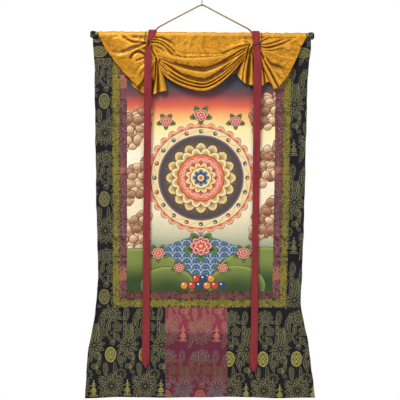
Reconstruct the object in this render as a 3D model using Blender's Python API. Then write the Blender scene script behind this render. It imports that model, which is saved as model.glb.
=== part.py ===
"""Thangka scroll painting: a painted canvas framed in brocade, hung by a cord from a wire hook.

Metres, +Z up, the painted face looks along -Y. The origin is the top of the hook's eye.
Sizes are written in millimetres. "out" is the distance in front of the cloth's plane, along -Y,
and "z" is a height, negative below the hook's eye.
"""

from math import cos, pi, sin

import bmesh
import bpy
import numpy as np

MM = 0.001
SEAM_GAP = 0.3          # between two pieces that are sewn or rest together
CLOTH = 1.5             # thickness of the brocade panels and of the canvas
SILK = 1.0              # thickness of the gathered cover
RIBBON_THICK = 1.2

# ---- the flat layout: seam columns and rows ------------------------------------------------------
# Each seam column's x is given at four heights, because the hanging cloth narrows to a waist and
# flares at its foot. The two outer edges have more heights, in their own tables below.
COLUMN_HEIGHTS = (-182.0, -400.0, -620.0, -850.0)
COLUMNS = {                                        # x at those heights
    "middle_l": (-247.5, -247.5, -246.5, -245.5),  # black side panel | olive strip
    "inner_l": (-227.5, -227.5, -227.5, -227.5),   # olive strip | burgundy strip
    "paint_l": (-207.0, -207.0, -207.0, -208.0),   # burgundy strip | painting
    "paint_r": (203.5, 201.5, 198.5, 193.5),
    "inner_r": (226.0, 223.5, 220.0, 214.5),
    "middle_r": (246.5, 243.5, 239.5, 232.5),
}
LEFT_EDGE = (     # z, x
    (-107, -300.0), (-146, -300.5), (-188, -297.5), (-298, -295.5), (-397, -294.0), (-574, -291.7),
    (-842, -290.1), (-872, -293.0), (-927, -302.0), (-985, -312.7), (-1071, -320.2), (-1122, -322.4),
)
RIGHT_EDGE = (
    (-107, 302.0), (-166, 299.5), (-188, 296.0), (-326, 289.5), (-436, 286.2), (-574, 283.0),
    (-781, 276.0), (-858, 273.0), (-914, 281.8), (-974, 294.0), (-1046, 303.0), (-1122, 312.0),
)
APRON_SEAMS = {"apron_l": (-101.5, -101.0), "apron_r": (68.5, 71.0)}   # x at top and at foot

ROW_HEAD, ROW_MIDDLE, ROW_INNER = -182.0, -203.0, -224.5     # under the head panel, down to the canvas
ROW_PAINT, ROW_INNER_FOOT, ROW_MIDDLE_FOOT = -826.0, -847.5, -870.5
ROW_FOOT = -1120.0

# ---- the rolled head ------------------------------------------------------------------------------
ROLL_RADIUS = 8.4
ROLL_LEFT, ROLL_RIGHT = -309.0, 310.0
ROLL_Z_LEFT, ROLL_Z_RIGHT = -118.4, -123.0        # the roll's axis hangs a little lower at the right
END_RINGS = (0.0, 0.8, 2.4, 5.0, 10.0, 17.0, 23.5)   # rings of the rounded, thicker ends

# ---- ribbons: stations from the back of the head, over the roll, down to the tip ------------------
# x of the middle, out, z, width
RIBBON_LEFT = (
    (-137, -1.75, -178, 21), (-137, -1.75, -166, 21), (-137, -4.6, -148, 21), (-137, -9.6, -133, 21),
    (-137, -11.4, -122, 21), (-137, -10.4, -112.5, 21), (-137, -5.6, -106.2, 21),
    (-137, 1.0, -104.4, 21), (-137, 7.4, -107.0, 21), (-137.2, 11.0, -113.5, 21),
    (-138.6, 13.4, -121, 18.5), (-143, 17.6, -131, 13.5), (-146.5, 20.2, -139, 8.5),
    (-147.0, 21.0, -144.5, 7.5), (-147.5, 21.5, -151, 10), (-148.0, 23.0, -162, 15),
    (-148.4, 24.0, -178, 19), (-148.7, 24.5, -200, 20), (-148.9, 24.5, -230, 20.5),
    (-149.0, 22.5, -265, 20.5), (-149.0, 18.0, -300, 20.5), (-150.0, 12.0, -380, 20.5),
    (-151.0, 9.0, -480, 20), (-152.0, 7.0, -600, 19.5), (-152.6, 7.5, -720, 19.5),
    (-153.2, 6.5, -830, 20), (-154.0, 7.0, -930, 20.5), (-154.8, 6.0, -1012, 21),
)
RIBBON_RIGHT = (
    (148, -1.75, -184, 21), (148, -1.75, -171, 21), (148, -4.6, -152, 21), (148, -9.6, -136, 21),
    (148, -11.4, -125, 21), (148, -10.4, -115.5, 21), (148, -5.6, -109.6, 21), (148, 1.0, -108.0, 21),
    (148, 7.4, -110.4, 21.5), (148.2, 11.0, -116.5, 21), (148.6, 13.6, -124, 20.5),
    (149.2, 17.8, -134, 19.5), (149.4, 20.6, -144, 17.5), (150.2, 22.0, -152, 18.5),
    (151.6, 23.0, -163, 20.5), (152.4, 24.0, -180, 21), (152.6, 24.5, -202, 21.5),
    (152.6, 24.0, -232, 22), (152.4, 21.5, -265, 22), (152.0, 17.5, -300, 21.5),
    (150.8, 12.0, -380, 20.5), (149.6, 9.0, -480, 19.5), (147.8, 7.5, -600, 18.5),
    (146.6, 7.0, -720, 18.5), (145.4, 7.0, -830, 19), (144.2, 6.5, -930, 20),
    (142.4, 6.0, -1034, 20.5),
)
RIBBON_POINT = 15.0                               # the tip hangs this far below the last station

# ---- cords and hook -------------------------------------------------------------------------------
HANGING_CORD = 3.2
TIE_CORD = 1.8
WIRE = 2.0
# x, out, z
HANGING_ROUTE = (
    (-124.5, -2.7, -172), (-124.5, -4.4, -158), (-124.5, -10.0, -142), (-124.6, -14.6, -128),
    (-125.2, -15.2, -114), (-127.0, -10.5, -103.6), (-122.0, -5.5, -98.5), (-104.0, -3.0, -88.4),
    (-78.0, -1.6, -74.6), (-50.0, -0.8, -60.0), (-24.0, -0.2, -46.5), (-8.5, 0.0, -38.6),
    (-3.2, 0.0, -36.4), (0.0, 0.0, -35.7), (3.2, 0.0, -36.4), (8.5, 0.0, -39.0),
    (26.0, -0.2, -48.2), (54.0, -0.8, -63.0), (84.0, -1.6, -78.8), (112.0, -3.0, -93.4),
    (130.0, -5.5, -103.2), (136.0, -10.5, -108.6), (134.8, -15.2, -118), (134.2, -15.0, -132),
    (134.0, -10.0, -146), (134.0, -4.4, -162), (134.0, -2.7, -176),
)
TIE_LEFT_ROUTE = (
    (-154.0, 6.5, -107.8), (-155.2, 12.2, -112.5), (-157.0, 15.6, -123), (-158.2, 18.4, -133),
    (-155.8, 20.9, -139.8), (-151.5, 22.5, -143.2), (-147.0, 22.85, -144.6), (-142.4, 22.4, -144.4),
    (-139.2, 20.9, -142.6),
)
TIE_RIGHT_ROUTE = (
    (161.6, 6.5, -111.2), (162.4, 12.4, -116.4), (163.0, 16.6, -126), (162.6, 20.0, -136),
    (159.0, 22.4, -143.0), (153.5, 22.9, -146.0), (147.5, 23.1, -147.4), (142.0, 23.3, -148.6),
    (139.4, 23.9, -152.6), (140.2, 24.6, -158.5), (141.6, 25.2, -164.0),
)
HOOK_EYE_RADIUS = 6.5
HOOK_BOWL_RADIUS = 4.2
HOOK_BOWL_Z = -34.4

# ---- the gathered silk ----------------------------------------------------------------------------
# The sheet's lines, from just under the roll (first) to the hem (last). Each runs from the left edge
# to the left tie, across the swag to the right tie, and out to the right edge. Above them the sheet
# lies round the roll, with a line at each of these angles over the level.
WRAP_ANGLES = (75, 45, 15)
WRAP_RADIUS = ROLL_RADIUS + 1.9
# x, z, out: the line's end on the edge; bulge, sag: how far its middle stands out and hangs down.
LEFT_WING = (
    #  x      z     out  bulge  sag
    (-283.5, -122.5, 10.2, 0.0, 0.0),   # before the roll
    (-280, -130.0, 8.5, 3.0, 2.0),
    (-275, -140.0, 7.0, 3.0, 7.0),      # hollow under the seam
    (-264, -160.0, 6.5, -1.0, 11.0),    # crease
    (-254, -173.0, 9.0, 7.0, 13.0),     # long fold from the tie
    (-245, -186.0, 7.0, 5.0, 12.0),
    (-236, -198.0, 7.0, 1.0, 10.0),     # hollow
    (-228, -208.0, 7.5, 6.0, 9.0),
    (-222, -216.0, 7.0, 7.5, 8.0),
    (-215, -223.5, 7.0, 7.0, 7.0),
    (-208, -230.0, 7.0, 6.5, 6.0),
    (-201, -237.0, 7.0, 6.0, 5.0),
    (-194, -243.5, 7.0, 5.5, 4.0),
    (-187, -251.0, 7.0, 5.0, 3.0),
    (-179, -259.5, 7.5, 4.0, 0.0),      # lower corner of the edge
    (-168, -262.5, 6.5, 2.0, 0.0),
    (-158, -263.0, 7.5, 1.0, 0.0),
    (-147, -270.5, 8.0, 0.0, 0.0),
    (-139, -282.0, 6.5, -2.0, 0.0),     # from here the lines belong to the tail: its first hollow
    (-130.0, -282.5, 16.0, 2.0, 0.0),   # pleat
    (-121.5, -277.5, 7.0, -2.5, 0.0),   # deep hollow
    (-109.0, -275.5, 16.5, 2.5, -3.0),  # pleat
    (-100.5, -273.5, 12.0, 1.0, -6.0),
    (-96.3, -272.4, 8.0, 0.0, -9.0),    # free side of the tail
)
RIGHT_WING = (
    (287.5, -126.6, 10.2, 0.0, 0.0),
    (286.2, -128.6, 9.2, 1.5, -1.0),
    (284.8, -130.8, 8.5, -0.5, -2.0),   # crease toward the upper corner
    (281.6, -135.6, 9.0, 4.0, 0.0),
    (278.4, -142.0, 7.5, -1.0, 2.0),    # crease
    (275.0, -148.6, 9.0, 5.0, 4.0),
    (270.4, -159.0, 7.0, 0.5, 7.0),     # crease
    (266.0, -171.0, 7.5, 5.0, 8.0),
    (261.0, -184.0, 8.5, 9.0, 9.0),     # ridge of the main fold
    (256.0, -194.0, 7.0, 5.0, 9.0),
    (250.8, -205.4, 7.0, 1.0, 8.0),     # shaded hollow
    (243.0, -219.5, 7.0, 2.5, 6.0),
    (234.6, -233.8, 7.0, 5.0, 4.0),
    (223.6, -248.0, 8.0, 7.0, 2.0),
    (211.4, -261.8, 10.0, 7.0, 0.0),    # lower corner of the edge
    (199.0, -268.2, 12.5, 5.0, 0.0),
    (193.5, -257.5, 5.5, -5.0, 0.0),    # deep hollow
    (182.0, -248.5, 8.5, 2.0, 0.0),
    (165.0, -259.5, 10.5, 3.0, 0.0),
    (151.0, -258.0, 6.5, -1.0, 0.0),
    (137.0, -258.5, 16.0, 1.5, 0.0),    # pleat of the tail
    (124.5, -255.5, 7.5, -3.0, -3.0),   # hollow
    (109.0, -246.0, 16.5, 1.0, -9.0),   # pleat
    (97.5, -231.8, 8.5, -0.5, -15.0),   # free side of the tail
)
# tie_l, tie_r: where the line leaves each tie, a place on the tie lines below
# z, out: the line's lowest point between the ties
# leave_l, leave_r: 0 hangs straight out of the tie, 1 leaves it level and drops later, less than 0
# drops steeply and then runs on straight
SWAG = (
    # tie_l  z      out  tie_r leave_l leave_r
    (0.00, -126.0, 10.2, 0.00, 0.0, 0.0),
    (0.50, -142.0, 11.5, 0.45, 0.5, 0.3),
    (0.74, -163.0, 13.5, 0.68, 1.0, 0.7),    # upper arc of the left tie
    (0.86, -170.5, 13.0, 0.84, 1.0, 1.0),    # crease
    (0.98, -176.0, 15.0, 0.94, 1.0, 1.0),    # lower arc
    (1.30, -180.0, 17.0, 0.98, 0.8, 0.9),
    (1.72, -186.5, 22.5, 1.10, 0.3, 0.6),    # top of the first roll
    (1.84, -202.0, 24.0, 1.25, 0.1, 0.3),
    (1.90, -216.5, 14.5, 1.35, 0.0, 0.1),    # deep crease
    (1.93, -226.5, 26.0, 1.45, -0.05, 0.0),  # second roll
    (1.96, -245.5, 19.0, 1.55, -0.12, 0.0),  # crease
    (1.98, -252.0, 26.5, 1.62, -0.18, 0.0),
    (2.00, -256.0, 20.0, 1.70, -0.22, 0.0),  # crease
    (2.03, -260.5, 26.5, 1.78, -0.26, 0.0),
    (2.06, -264.5, 20.0, 1.86, -0.30, 0.0),  # crease
    (2.10, -270.5, 25.5, 1.94, -0.34, 0.0),  # lowest fold
    (2.20, -274.5, 19.0, 2.05, -0.36, 0.0),  # under side of the swag
    (2.35, -272.5, 13.5, 2.20, -0.30, 0.0),  # the hem runs up behind it
    (2.50, -267.0, 11.0, 2.35, -0.20, 0.0),
    (2.60, -261.5, 9.6, 2.50, -0.10, 0.0),
    (2.70, -256.0, 8.6, 2.60, 0.0, 0.0),
    (2.80, -250.5, 7.8, 2.70, 0.0, 0.0),
    (2.90, -245.0, 7.2, 2.85, 0.0, 0.0),
    (3.00, -239.5, 6.6, 3.00, 0.0, 0.0),
)
# x, z, out at the places 0 (under the roll), 1, 2 (the lower knot, in front) and 3 (behind it)
TIE_LINE_LEFT = (
    (-144.0, -123.5, 10.2), (-145.0, -144.0, 15.5), (-124.0, -183.5, 14.8), (-121.0, -185.0, 7.5),
)
TIE_LINE_RIGHT = (
    (147.0, -126.0, 10.2), (148.0, -145.0, 16.5), (138.0, -150.5, 14.8), (136.0, -153.0, 7.5),
)
WING_STEPS, SWAG_STEPS = 11, 26                   # spans of the sheet on each wing and in the swag
SAG_POWER_LEFT, SAG_POWER_RIGHT = 2.2, 1.8


def material(name, colour, roughness, metallic=0.0):
    """A plain finish with the cloth's colour."""
    finish = bpy.data.materials.new(name)
    finish.use_nodes = True
    shader = finish.node_tree.nodes["Principled BSDF"]
    shader.inputs["Base Color"].default_value = (*colour, 1.0)
    shader.inputs["Roughness"].default_value = roughness
    shader.inputs["Metallic"].default_value = metallic
    finish.diffuse_color = (*colour, 1.0)
    return finish


def add_object(name, mesh, finish):
    piece = bpy.data.objects.new(name, mesh)
    bpy.context.scene.collection.objects.link(piece)
    mesh.materials.append(finish)
    return piece


def smooth_through(table, at):
    """Values of a table's columns on a smooth curve through its rows, whose first column is the way."""
    table = np.asarray(table, float)
    if table[0, 0] > table[-1, 0]:
        table = table[::-1]
    way, values = table[:, 0], table[:, 1:]
    slope = np.gradient(values, way, axis=0)
    at = np.clip(np.asarray(at, float), way[0], way[-1])
    row = np.clip(np.searchsorted(way, at) - 1, 0, len(way) - 2)
    span = (way[row + 1] - way[row])[..., None]
    t = (at - way[row])[..., None] / span
    start, end = values[row], values[row + 1]
    return ((2 * t**3 - 3 * t**2 + 1) * start + (t**3 - 2 * t**2 + t) * span * slope[row]
            + (3 * t**2 - 2 * t**3) * end + (t**3 - t**2) * span * slope[row + 1])


def hang(x, z):
    """How far the flat cloth stands out: slow waves, wider folds in the flaring apron."""
    apron = np.clip((ROW_MIDDLE_FOOT + 60 - z) / 250, 0, 1)
    slow = 1.3 * np.sin(2 * pi * x / 390 + 0.7 + z / 900) + 0.9 * np.sin(2 * pi * z / 520 + x / 240)
    folds = 3.2 * np.sin(2 * pi * x / 172 + 0.5) + 1.8 * np.sin(2 * pi * x / 97 + 2.0 + z / 160)
    head = np.clip((z - ROW_HEAD + 80) / 70, 0, 1)        # flat where the ribbons are sewn on
    return slow * (1 - head) + folds * apron


def droop(x, z):
    """Rows are level in the layout; the real ones follow the tilted roll and the uneven foot."""
    tilt = (ROLL_Z_RIGHT - ROLL_Z_LEFT) * (x - ROLL_LEFT) / (ROLL_RIGHT - ROLL_LEFT)
    near_roll = np.clip((z + 320) / 200, 0, 1)
    foot = np.clip((-z - 1000) / 120, 0, 1)
    return z + tilt * near_roll + foot * (1.2 * np.sin(x / 46) + 1.6 * np.cos(x / 190))


def column(name):
    """The x of a seam or an edge, as a function of the height."""
    if name == "left":
        return lambda z: smooth_through(LEFT_EDGE, z)[..., 0]
    if name == "right":
        return lambda z: smooth_through(RIGHT_EDGE, z)[..., 0]
    if name in APRON_SEAMS:
        top, foot = APRON_SEAMS[name]
        return lambda z: np.interp(z, (ROW_FOOT, ROW_MIDDLE_FOOT), (foot, top))
    heights = np.array(COLUMN_HEIGHTS)
    return lambda z: smooth_through(np.column_stack([heights, COLUMNS[name]]), z)[..., 0]


def closed_sheet(front, back):
    """A closed mesh between two grids of points, rows by columns, with a rim around them."""
    rows, columns = front.shape[:2]
    count = rows * columns
    index = np.arange(count).reshape(rows, columns)
    a, b, c, d = index[:-1, :-1], index[:-1, 1:], index[1:, 1:], index[1:, :-1]
    quads = np.stack([a, b, c, d], axis=-1).reshape(-1, 4)
    rim = np.concatenate([index[0, :], index[1:, -1], index[-1, -2::-1], index[-2:0:-1, 0]])
    onward = np.roll(rim, -1)
    edge = np.stack([rim, rim + count, onward + count, onward], axis=-1)
    faces = np.concatenate([quads[:, ::-1], quads + count, edge])
    points = np.concatenate([front.reshape(-1, 3), back.reshape(-1, 3)]) * MM
    return points, faces


def sheet_mesh(name, front, back):
    points, faces = closed_sheet(front, back)
    mesh = bpy.data.meshes.new(name)
    mesh.from_pydata(points.tolist(), [], faces.tolist())
    form = bmesh.new()
    form.from_mesh(mesh)
    bmesh.ops.recalc_face_normals(form, faces=form.faces)
    form.to_mesh(mesh)
    form.free()
    mesh.shade_smooth()
    mesh.set_sharp_from_angle(angle=1.2)
    return mesh


def panel(name, left, right, top, foot, spans, finish, mitre=0):
    """A flat piece between two columns and two rows. Mitre cuts both its ends at 45 degrees: +1 makes
    the right side of a standing strip, or the lower side of a lying one, the longer; -1 the other."""
    across, down = spans
    u, v = np.meshgrid(np.linspace(0, 1, across + 1), np.linspace(0, 1, down + 1))
    gap = SEAM_GAP / 2
    z = top + (foot - top) * v
    x_left, x_right = column(left)(z), column(right)(z)
    width = x_right - x_left
    if name.split("_")[-1] in ("left", "right"):
        short = np.where(mitre > 0, 1 - u, u) * abs(mitre) * width
        z = (top - short) * (1 - v) + (foot + short) * v
        x_left, x_right = column(left)(z), column(right)(z)
    z = z - gap * (1 - 2 * v)
    x = (x_left + gap) * (1 - u) + (x_right - gap) * u
    if name.split("_")[-1] in ("top", "bottom") and mitre:
        drop = (top - foot) * (v if mitre < 0 else 1 - v)
        slack = SEAM_GAP * 0.7
        x = (x_left + drop + slack) * (1 - u) + (x_right - drop - slack) * u
    stand = hang(x, z)
    z = droop(x, z)
    front = np.stack([x, -stand - CLOTH / 2, z], axis=-1)
    back = np.stack([x, -stand + CLOTH / 2, z], axis=-1)
    return add_object(name, sheet_mesh(name, front, back), finish)


def head_roll(finish):
    """The rolled brocade: a long round bar of cloth with soft, slightly lumpy ends."""
    sides = 14
    x = np.concatenate([
        ROLL_LEFT + np.array(END_RINGS),
        np.linspace(ROLL_LEFT, ROLL_RIGHT, 15)[1:-1],
        ROLL_RIGHT - np.array(END_RINGS[::-1]),
    ])
    near_end = np.minimum(x - ROLL_LEFT, ROLL_RIGHT - x)
    dome = np.sqrt(np.clip(1 - (1 - np.clip(near_end / 5.0, 0, 1)) ** 2, 0.2, 1))
    lump = 0.2 * np.clip((24 - near_end) / 14, 0, 1) + 0.02 * np.sin(x / 37)
    radius = ROLL_RADIUS * dome * (1 + lump)
    axis_z = np.interp(x, (ROLL_LEFT, ROLL_RIGHT), (ROLL_Z_LEFT, ROLL_Z_RIGHT)) + ROLL_RADIUS * lump
    form = bmesh.new()
    rings = []
    for place, size, height in zip(x, radius, axis_z):
        ring = []
        for side in range(sides):
            turn = 2 * pi * side / sides
            point = (place, -size * cos(turn), height + size * sin(turn))
            ring.append(form.verts.new([c * MM for c in point]))
        rings.append(ring)
    for ring, after in zip(rings, rings[1:]):
        for side in range(sides):
            onward = (side + 1) % sides
            form.faces.new((ring[side], ring[onward], after[onward], after[side]))
    form.faces.new(rings[0])
    form.faces.new(rings[-1])
    bmesh.ops.recalc_face_normals(form, faces=form.faces)
    mesh = bpy.data.meshes.new("head_roll")
    form.to_mesh(mesh)
    form.free()
    mesh.shade_smooth()
    mesh.set_sharp_from_angle(angle=1.0)
    return add_object("head_roll", mesh, finish)


def ribbon(name, stations, finish):
    """A flat ribbon along its stations, ending in a point."""
    way = np.arange(len(stations))
    steps = 2
    at = np.linspace(0, len(stations) - 1, steps * (len(stations) - 1) + 1)
    x, out, z, width = smooth_through(np.column_stack([way, stations]), at).T
    u = np.array([-0.5, 0.0, 0.5])
    tip = np.array([0.0, -RIBBON_POINT, 0.0])
    ahead = np.stack([np.gradient(-out), np.gradient(z)], axis=-1)
    ahead /= np.linalg.norm(ahead, axis=1)[:, None]
    facing = np.stack([ahead[:, 1], -ahead[:, 0]], axis=-1)        # across the ribbon's thickness
    rows = []
    for half in (-RIBBON_THICK / 2, RIBBON_THICK / 2):
        y_line = -out - facing[:, 0] * -half
        z_line = z - facing[:, 1] * -half
        grid = np.stack([
            x[:, None] + u * width[:, None],
            np.repeat(y_line[:, None], 3, axis=1),
            np.repeat(z_line[:, None], 3, axis=1),
        ], axis=-1)
        grid[-1, :, 2] += tip
        rows.append(grid)
    return add_object(name, sheet_mesh(name, rows[0], rows[1]), finish)


def tube(name, route, diameter, spacing, resolution, finish, smooth=True):
    """A round cord or wire along a smooth curve through its route's points (x, out, z)."""
    route = np.array([(x, -out, z) for x, out, z in route], float)
    if smooth:
        steps = np.linalg.norm(np.diff(route, axis=0), axis=1)
        way = np.concatenate([[0], np.cumsum(steps)])
        count = max(4, round(way[-1] / spacing))
        route = smooth_through(np.column_stack([way, route]), np.linspace(0, way[-1], count + 1))
    curve = bpy.data.curves.new(name, "CURVE")
    curve.dimensions = "3D"
    line = curve.splines.new("POLY")
    line.points.add(len(route) - 1)
    for point, place in zip(line.points, route):
        point.co = (*(place * MM), 1.0)
    curve.bevel_depth = diameter / 2 * MM
    curve.bevel_resolution = resolution
    curve.render_resolution_u = 0
    curve.use_fill_caps = True
    return add_object(name, curve, finish)


def wire_hook(finish):
    """A wire bent into a bowl below, a straight shank, and an eye above that is almost closed."""
    route = []
    for turn in np.linspace(-0.95, 1.0, 11) * pi / 2:            # bowl, seen from the side
        route.append((0.0, HOOK_BOWL_RADIUS * sin(-turn), HOOK_BOWL_Z - HOOK_BOWL_RADIUS * cos(turn)))
    shank_foot = HOOK_BOWL_Z + 5.0
    route.append((0.0, -HOOK_BOWL_RADIUS * 0.75, shank_foot))
    route.append((0.0, -HOOK_BOWL_RADIUS * 0.1, shank_foot + 5.0))
    eye_z = -HOOK_EYE_RADIUS - WIRE / 2
    for turn in np.linspace(-0.5, 1.32, 17) * pi:                # eye, seen from the front
        route.append((HOOK_EYE_RADIUS * cos(turn), 0.9 * turn / pi, eye_z + HOOK_EYE_RADIUS * sin(turn)))
    return tube("wire_hook", route, WIRE, 0, 2, finish, smooth=False)


def tie_place(line, at):
    """A point on a tie line: the whole number of at is its corner, the rest the way to the next."""
    line = np.array(line, float)
    return np.stack([np.interp(at, range(len(line)), line[:, axis]) for axis in range(3)], axis=-1)


def drop_shape(s, leave, power):
    """How a line of the swag falls from a tie (s = 0) to its lowest point (s = 1)."""
    even = 1 - (1 - s) ** power
    late = 1 - (1 - s ** 3) ** 12
    early = 1 - (1 - s) ** 12
    steady = 1 - (1 - s) ** 1.6
    share = np.abs(leave)
    steep = early * share + steady * (1 - share)
    far = np.clip(share / 0.3, 0, 1)
    return np.where(leave < 0, steep * far + even * (1 - far), even * (1 - share) + late * share)


def silk_grid():
    """Points of the cover's front, lines by steps along them: left wing, swag, right wing."""
    left, right, swag = (np.array(t, float) for t in (LEFT_WING, RIGHT_WING, SWAG))
    tie_l = tie_place(TIE_LINE_LEFT, swag[:, 0])
    tie_r = tie_place(TIE_LINE_RIGHT, swag[:, 3])

    def wing(edge, tie, w):
        w = w[None, :]
        arch = 4 * w * (1 - w)
        x = edge[:, :1] * (1 - w) + tie[:, :1] * w
        z = edge[:, 1:2] * (1 - w) + tie[:, 1:2] * w - edge[:, 4:5] * arch
        out = edge[:, 2:3] * (1 - w) + tie[:, 2:3] * w + edge[:, 3:4] * arch
        return np.stack([x, out, z], axis=-1)

    u = np.linspace(0, 1, SWAG_STEPS + 1)[None, :]
    s_left, s_right = np.clip(2 * u, 0, 1), np.clip(2 - 2 * u, 0, 1)
    fall = np.where(u < 0.5, drop_shape(s_left, swag[:, 4:5], SAG_POWER_LEFT),
                    drop_shape(s_right, swag[:, 5:6], SAG_POWER_RIGHT))
    chord_z = tie_l[:, 1:2] * (1 - u) + tie_r[:, 1:2] * u
    chord_mid = (tie_l[:, 1:2] + tie_r[:, 1:2]) / 2
    z = chord_z + (swag[:, 1:2] - chord_mid) * fall
    x = tie_l[:, :1] * (1 - u) + tie_r[:, :1] * u
    swell = 1 - np.abs(2 * u - 1) ** 2.5
    out = (tie_l[:, 2:3] * (1 - u) + tie_r[:, 2:3] * u) * (1 - swell) + swag[:, 2:3] * swell
    middle = np.stack([x, out, z], axis=-1)
    w = np.linspace(0, 1, WING_STEPS + 1)
    wing_l = wing(left, tie_l, w)[:, :-1]
    wing_r = wing(right, tie_r, w)[:, ::-1][:, 1:]
    hanging = np.concatenate([wing_l, middle, wing_r], axis=1)
    x = hanging[0, :, 0]
    axis_z = np.interp(x, (ROLL_LEFT, ROLL_RIGHT), (ROLL_Z_LEFT, ROLL_Z_RIGHT))
    wrap = [np.stack([x, WRAP_RADIUS * cos(turn) + 0 * x, axis_z + WRAP_RADIUS * sin(turn)], axis=-1)
            for turn in np.radians(WRAP_ANGLES)]
    return np.concatenate([np.array(wrap), hanging])


def silk_cover(finish):
    """The gathered cover as one closed sheet, its back offset along the sheet's normals."""
    grid = silk_grid()
    front = np.stack([grid[..., 0], -grid[..., 1], grid[..., 2]], axis=-1)
    normal = np.cross(np.gradient(front, axis=1), np.gradient(front, axis=0))
    normal /= np.maximum(np.linalg.norm(normal, axis=-1, keepdims=True), 1e-9)
    return add_object("silk_cover", sheet_mesh("silk_cover", front, front + normal * SILK), finish)


def build():
    for old in list(bpy.data.objects):
        bpy.data.objects.remove(old, do_unlink=True)
    black = material("black_brocade", (0.035, 0.034, 0.036), 0.75)
    burgundy = material("burgundy_brocade", (0.155, 0.045, 0.055), 0.7)
    olive = material("olive_brocade", (0.22, 0.19, 0.03), 0.65)
    canvas = material("painted_canvas", (0.45, 0.27, 0.18), 0.6)
    silk = material("gold_silk", (0.58, 0.28, 0.03), 0.4)
    crimson = material("crimson_ribbon", (0.32, 0.045, 0.06), 0.6)
    cord = material("cord", (0.28, 0.22, 0.13), 0.8)
    dark_cord = material("dark_cord", (0.05, 0.05, 0.04), 0.8)
    wire = material("wire", (0.08, 0.08, 0.08), 0.45, 0.8)

    panel("painting", "paint_l", "paint_r", ROW_INNER, ROW_PAINT, (12, 15), canvas)
    panel("inner_left", "inner_l", "paint_l", ROW_MIDDLE, ROW_INNER_FOOT, (1, 15), burgundy, -1)
    panel("inner_right", "paint_r", "inner_r", ROW_MIDDLE, ROW_INNER_FOOT, (1, 15), burgundy, 1)
    panel("inner_top", "inner_l", "inner_r", ROW_MIDDLE, ROW_INNER, (12, 1), burgundy, -1)
    panel("inner_bottom", "inner_l", "inner_r", ROW_PAINT, ROW_INNER_FOOT, (12, 1), burgundy, 1)
    panel("middle_left", "middle_l", "inner_l", ROW_HEAD, ROW_MIDDLE_FOOT, (1, 15), olive, -1)
    panel("middle_right", "inner_r", "middle_r", ROW_HEAD, ROW_MIDDLE_FOOT, (1, 15), olive, 1)
    panel("middle_top", "middle_l", "middle_r", ROW_HEAD, ROW_MIDDLE, (12, 1), olive, -1)
    panel("middle_bottom", "middle_l", "middle_r", ROW_INNER_FOOT, ROW_MIDDLE_FOOT, (12, 1), olive, 1)
    roll_foot = ROLL_Z_LEFT - ROLL_RADIUS - SEAM_GAP
    panel("head_panel", "left", "right", roll_foot, ROW_HEAD, (16, 2), black)
    panel("side_left", "left", "middle_l", ROW_HEAD, ROW_MIDDLE_FOOT, (2, 18), black)
    panel("side_right", "middle_r", "right", ROW_HEAD, ROW_MIDDLE_FOOT, (2, 18), black)
    panel("apron_left", "left", "apron_l", ROW_MIDDLE_FOOT, ROW_FOOT, (9, 6), black)
    panel("apron_centre", "apron_l", "apron_r", ROW_MIDDLE_FOOT, ROW_FOOT, (7, 6), burgundy)
    panel("apron_right", "apron_r", "right", ROW_MIDDLE_FOOT, ROW_FOOT, (9, 6), black)
    head_roll(black)
    silk_cover(silk)
    ribbon("ribbon_left", RIBBON_LEFT, crimson)
    ribbon("ribbon_right", RIBBON_RIGHT, crimson)
    tube("tie_left", TIE_LEFT_ROUTE, TIE_CORD, 4.0, 2, dark_cord)
    tube("tie_right", TIE_RIGHT_ROUTE, TIE_CORD, 4.0, 2, dark_cord)
    tube("hanging_cord", HANGING_ROUTE, HANGING_CORD, 7.0, 2, cord)
    wire_hook(wire)


build()
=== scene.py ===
# %% [markdown]
# A thangka is a painted canvas sewn into brocade borders, with a silk cover gathered above it. The
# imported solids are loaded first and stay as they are: every cloth below is made finer on the same
# outline and in the same metres, and then takes the place of its plain solid.

import bpy
import numpy as np
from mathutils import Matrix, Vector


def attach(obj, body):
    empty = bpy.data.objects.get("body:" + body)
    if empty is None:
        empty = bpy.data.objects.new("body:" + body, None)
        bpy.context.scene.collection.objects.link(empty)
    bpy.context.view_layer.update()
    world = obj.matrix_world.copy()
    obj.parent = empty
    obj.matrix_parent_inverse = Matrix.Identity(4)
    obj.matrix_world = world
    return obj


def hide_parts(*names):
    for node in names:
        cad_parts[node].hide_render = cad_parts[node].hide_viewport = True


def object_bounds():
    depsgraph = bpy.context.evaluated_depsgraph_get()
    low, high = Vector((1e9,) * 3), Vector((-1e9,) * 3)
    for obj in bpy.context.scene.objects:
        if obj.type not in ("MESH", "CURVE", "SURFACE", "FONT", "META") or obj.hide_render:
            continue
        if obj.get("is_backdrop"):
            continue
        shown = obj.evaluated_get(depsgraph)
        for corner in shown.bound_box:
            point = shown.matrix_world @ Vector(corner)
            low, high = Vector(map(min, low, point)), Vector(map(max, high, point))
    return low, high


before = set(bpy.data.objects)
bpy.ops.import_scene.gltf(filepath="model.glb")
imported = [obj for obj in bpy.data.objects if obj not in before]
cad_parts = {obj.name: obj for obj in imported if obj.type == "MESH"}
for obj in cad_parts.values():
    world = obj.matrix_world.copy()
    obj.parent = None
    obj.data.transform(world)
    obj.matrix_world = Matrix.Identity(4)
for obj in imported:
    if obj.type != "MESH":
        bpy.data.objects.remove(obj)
solid_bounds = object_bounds()
MM = 0.001


def new_object(name, data):
    """An object in the scene that shows a mesh, a lamp or a camera."""
    thing = bpy.data.objects.new(name, data)
    bpy.context.scene.collection.objects.link(thing)
    return thing


print("solids:", len(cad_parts))

# %% [markdown]
# The scroll is seen straight on. A long lens from four metres away keeps its sides upright, as in a
# picture taken for a catalogue: 400 pixels take in 1.104 m of cloth.

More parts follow.
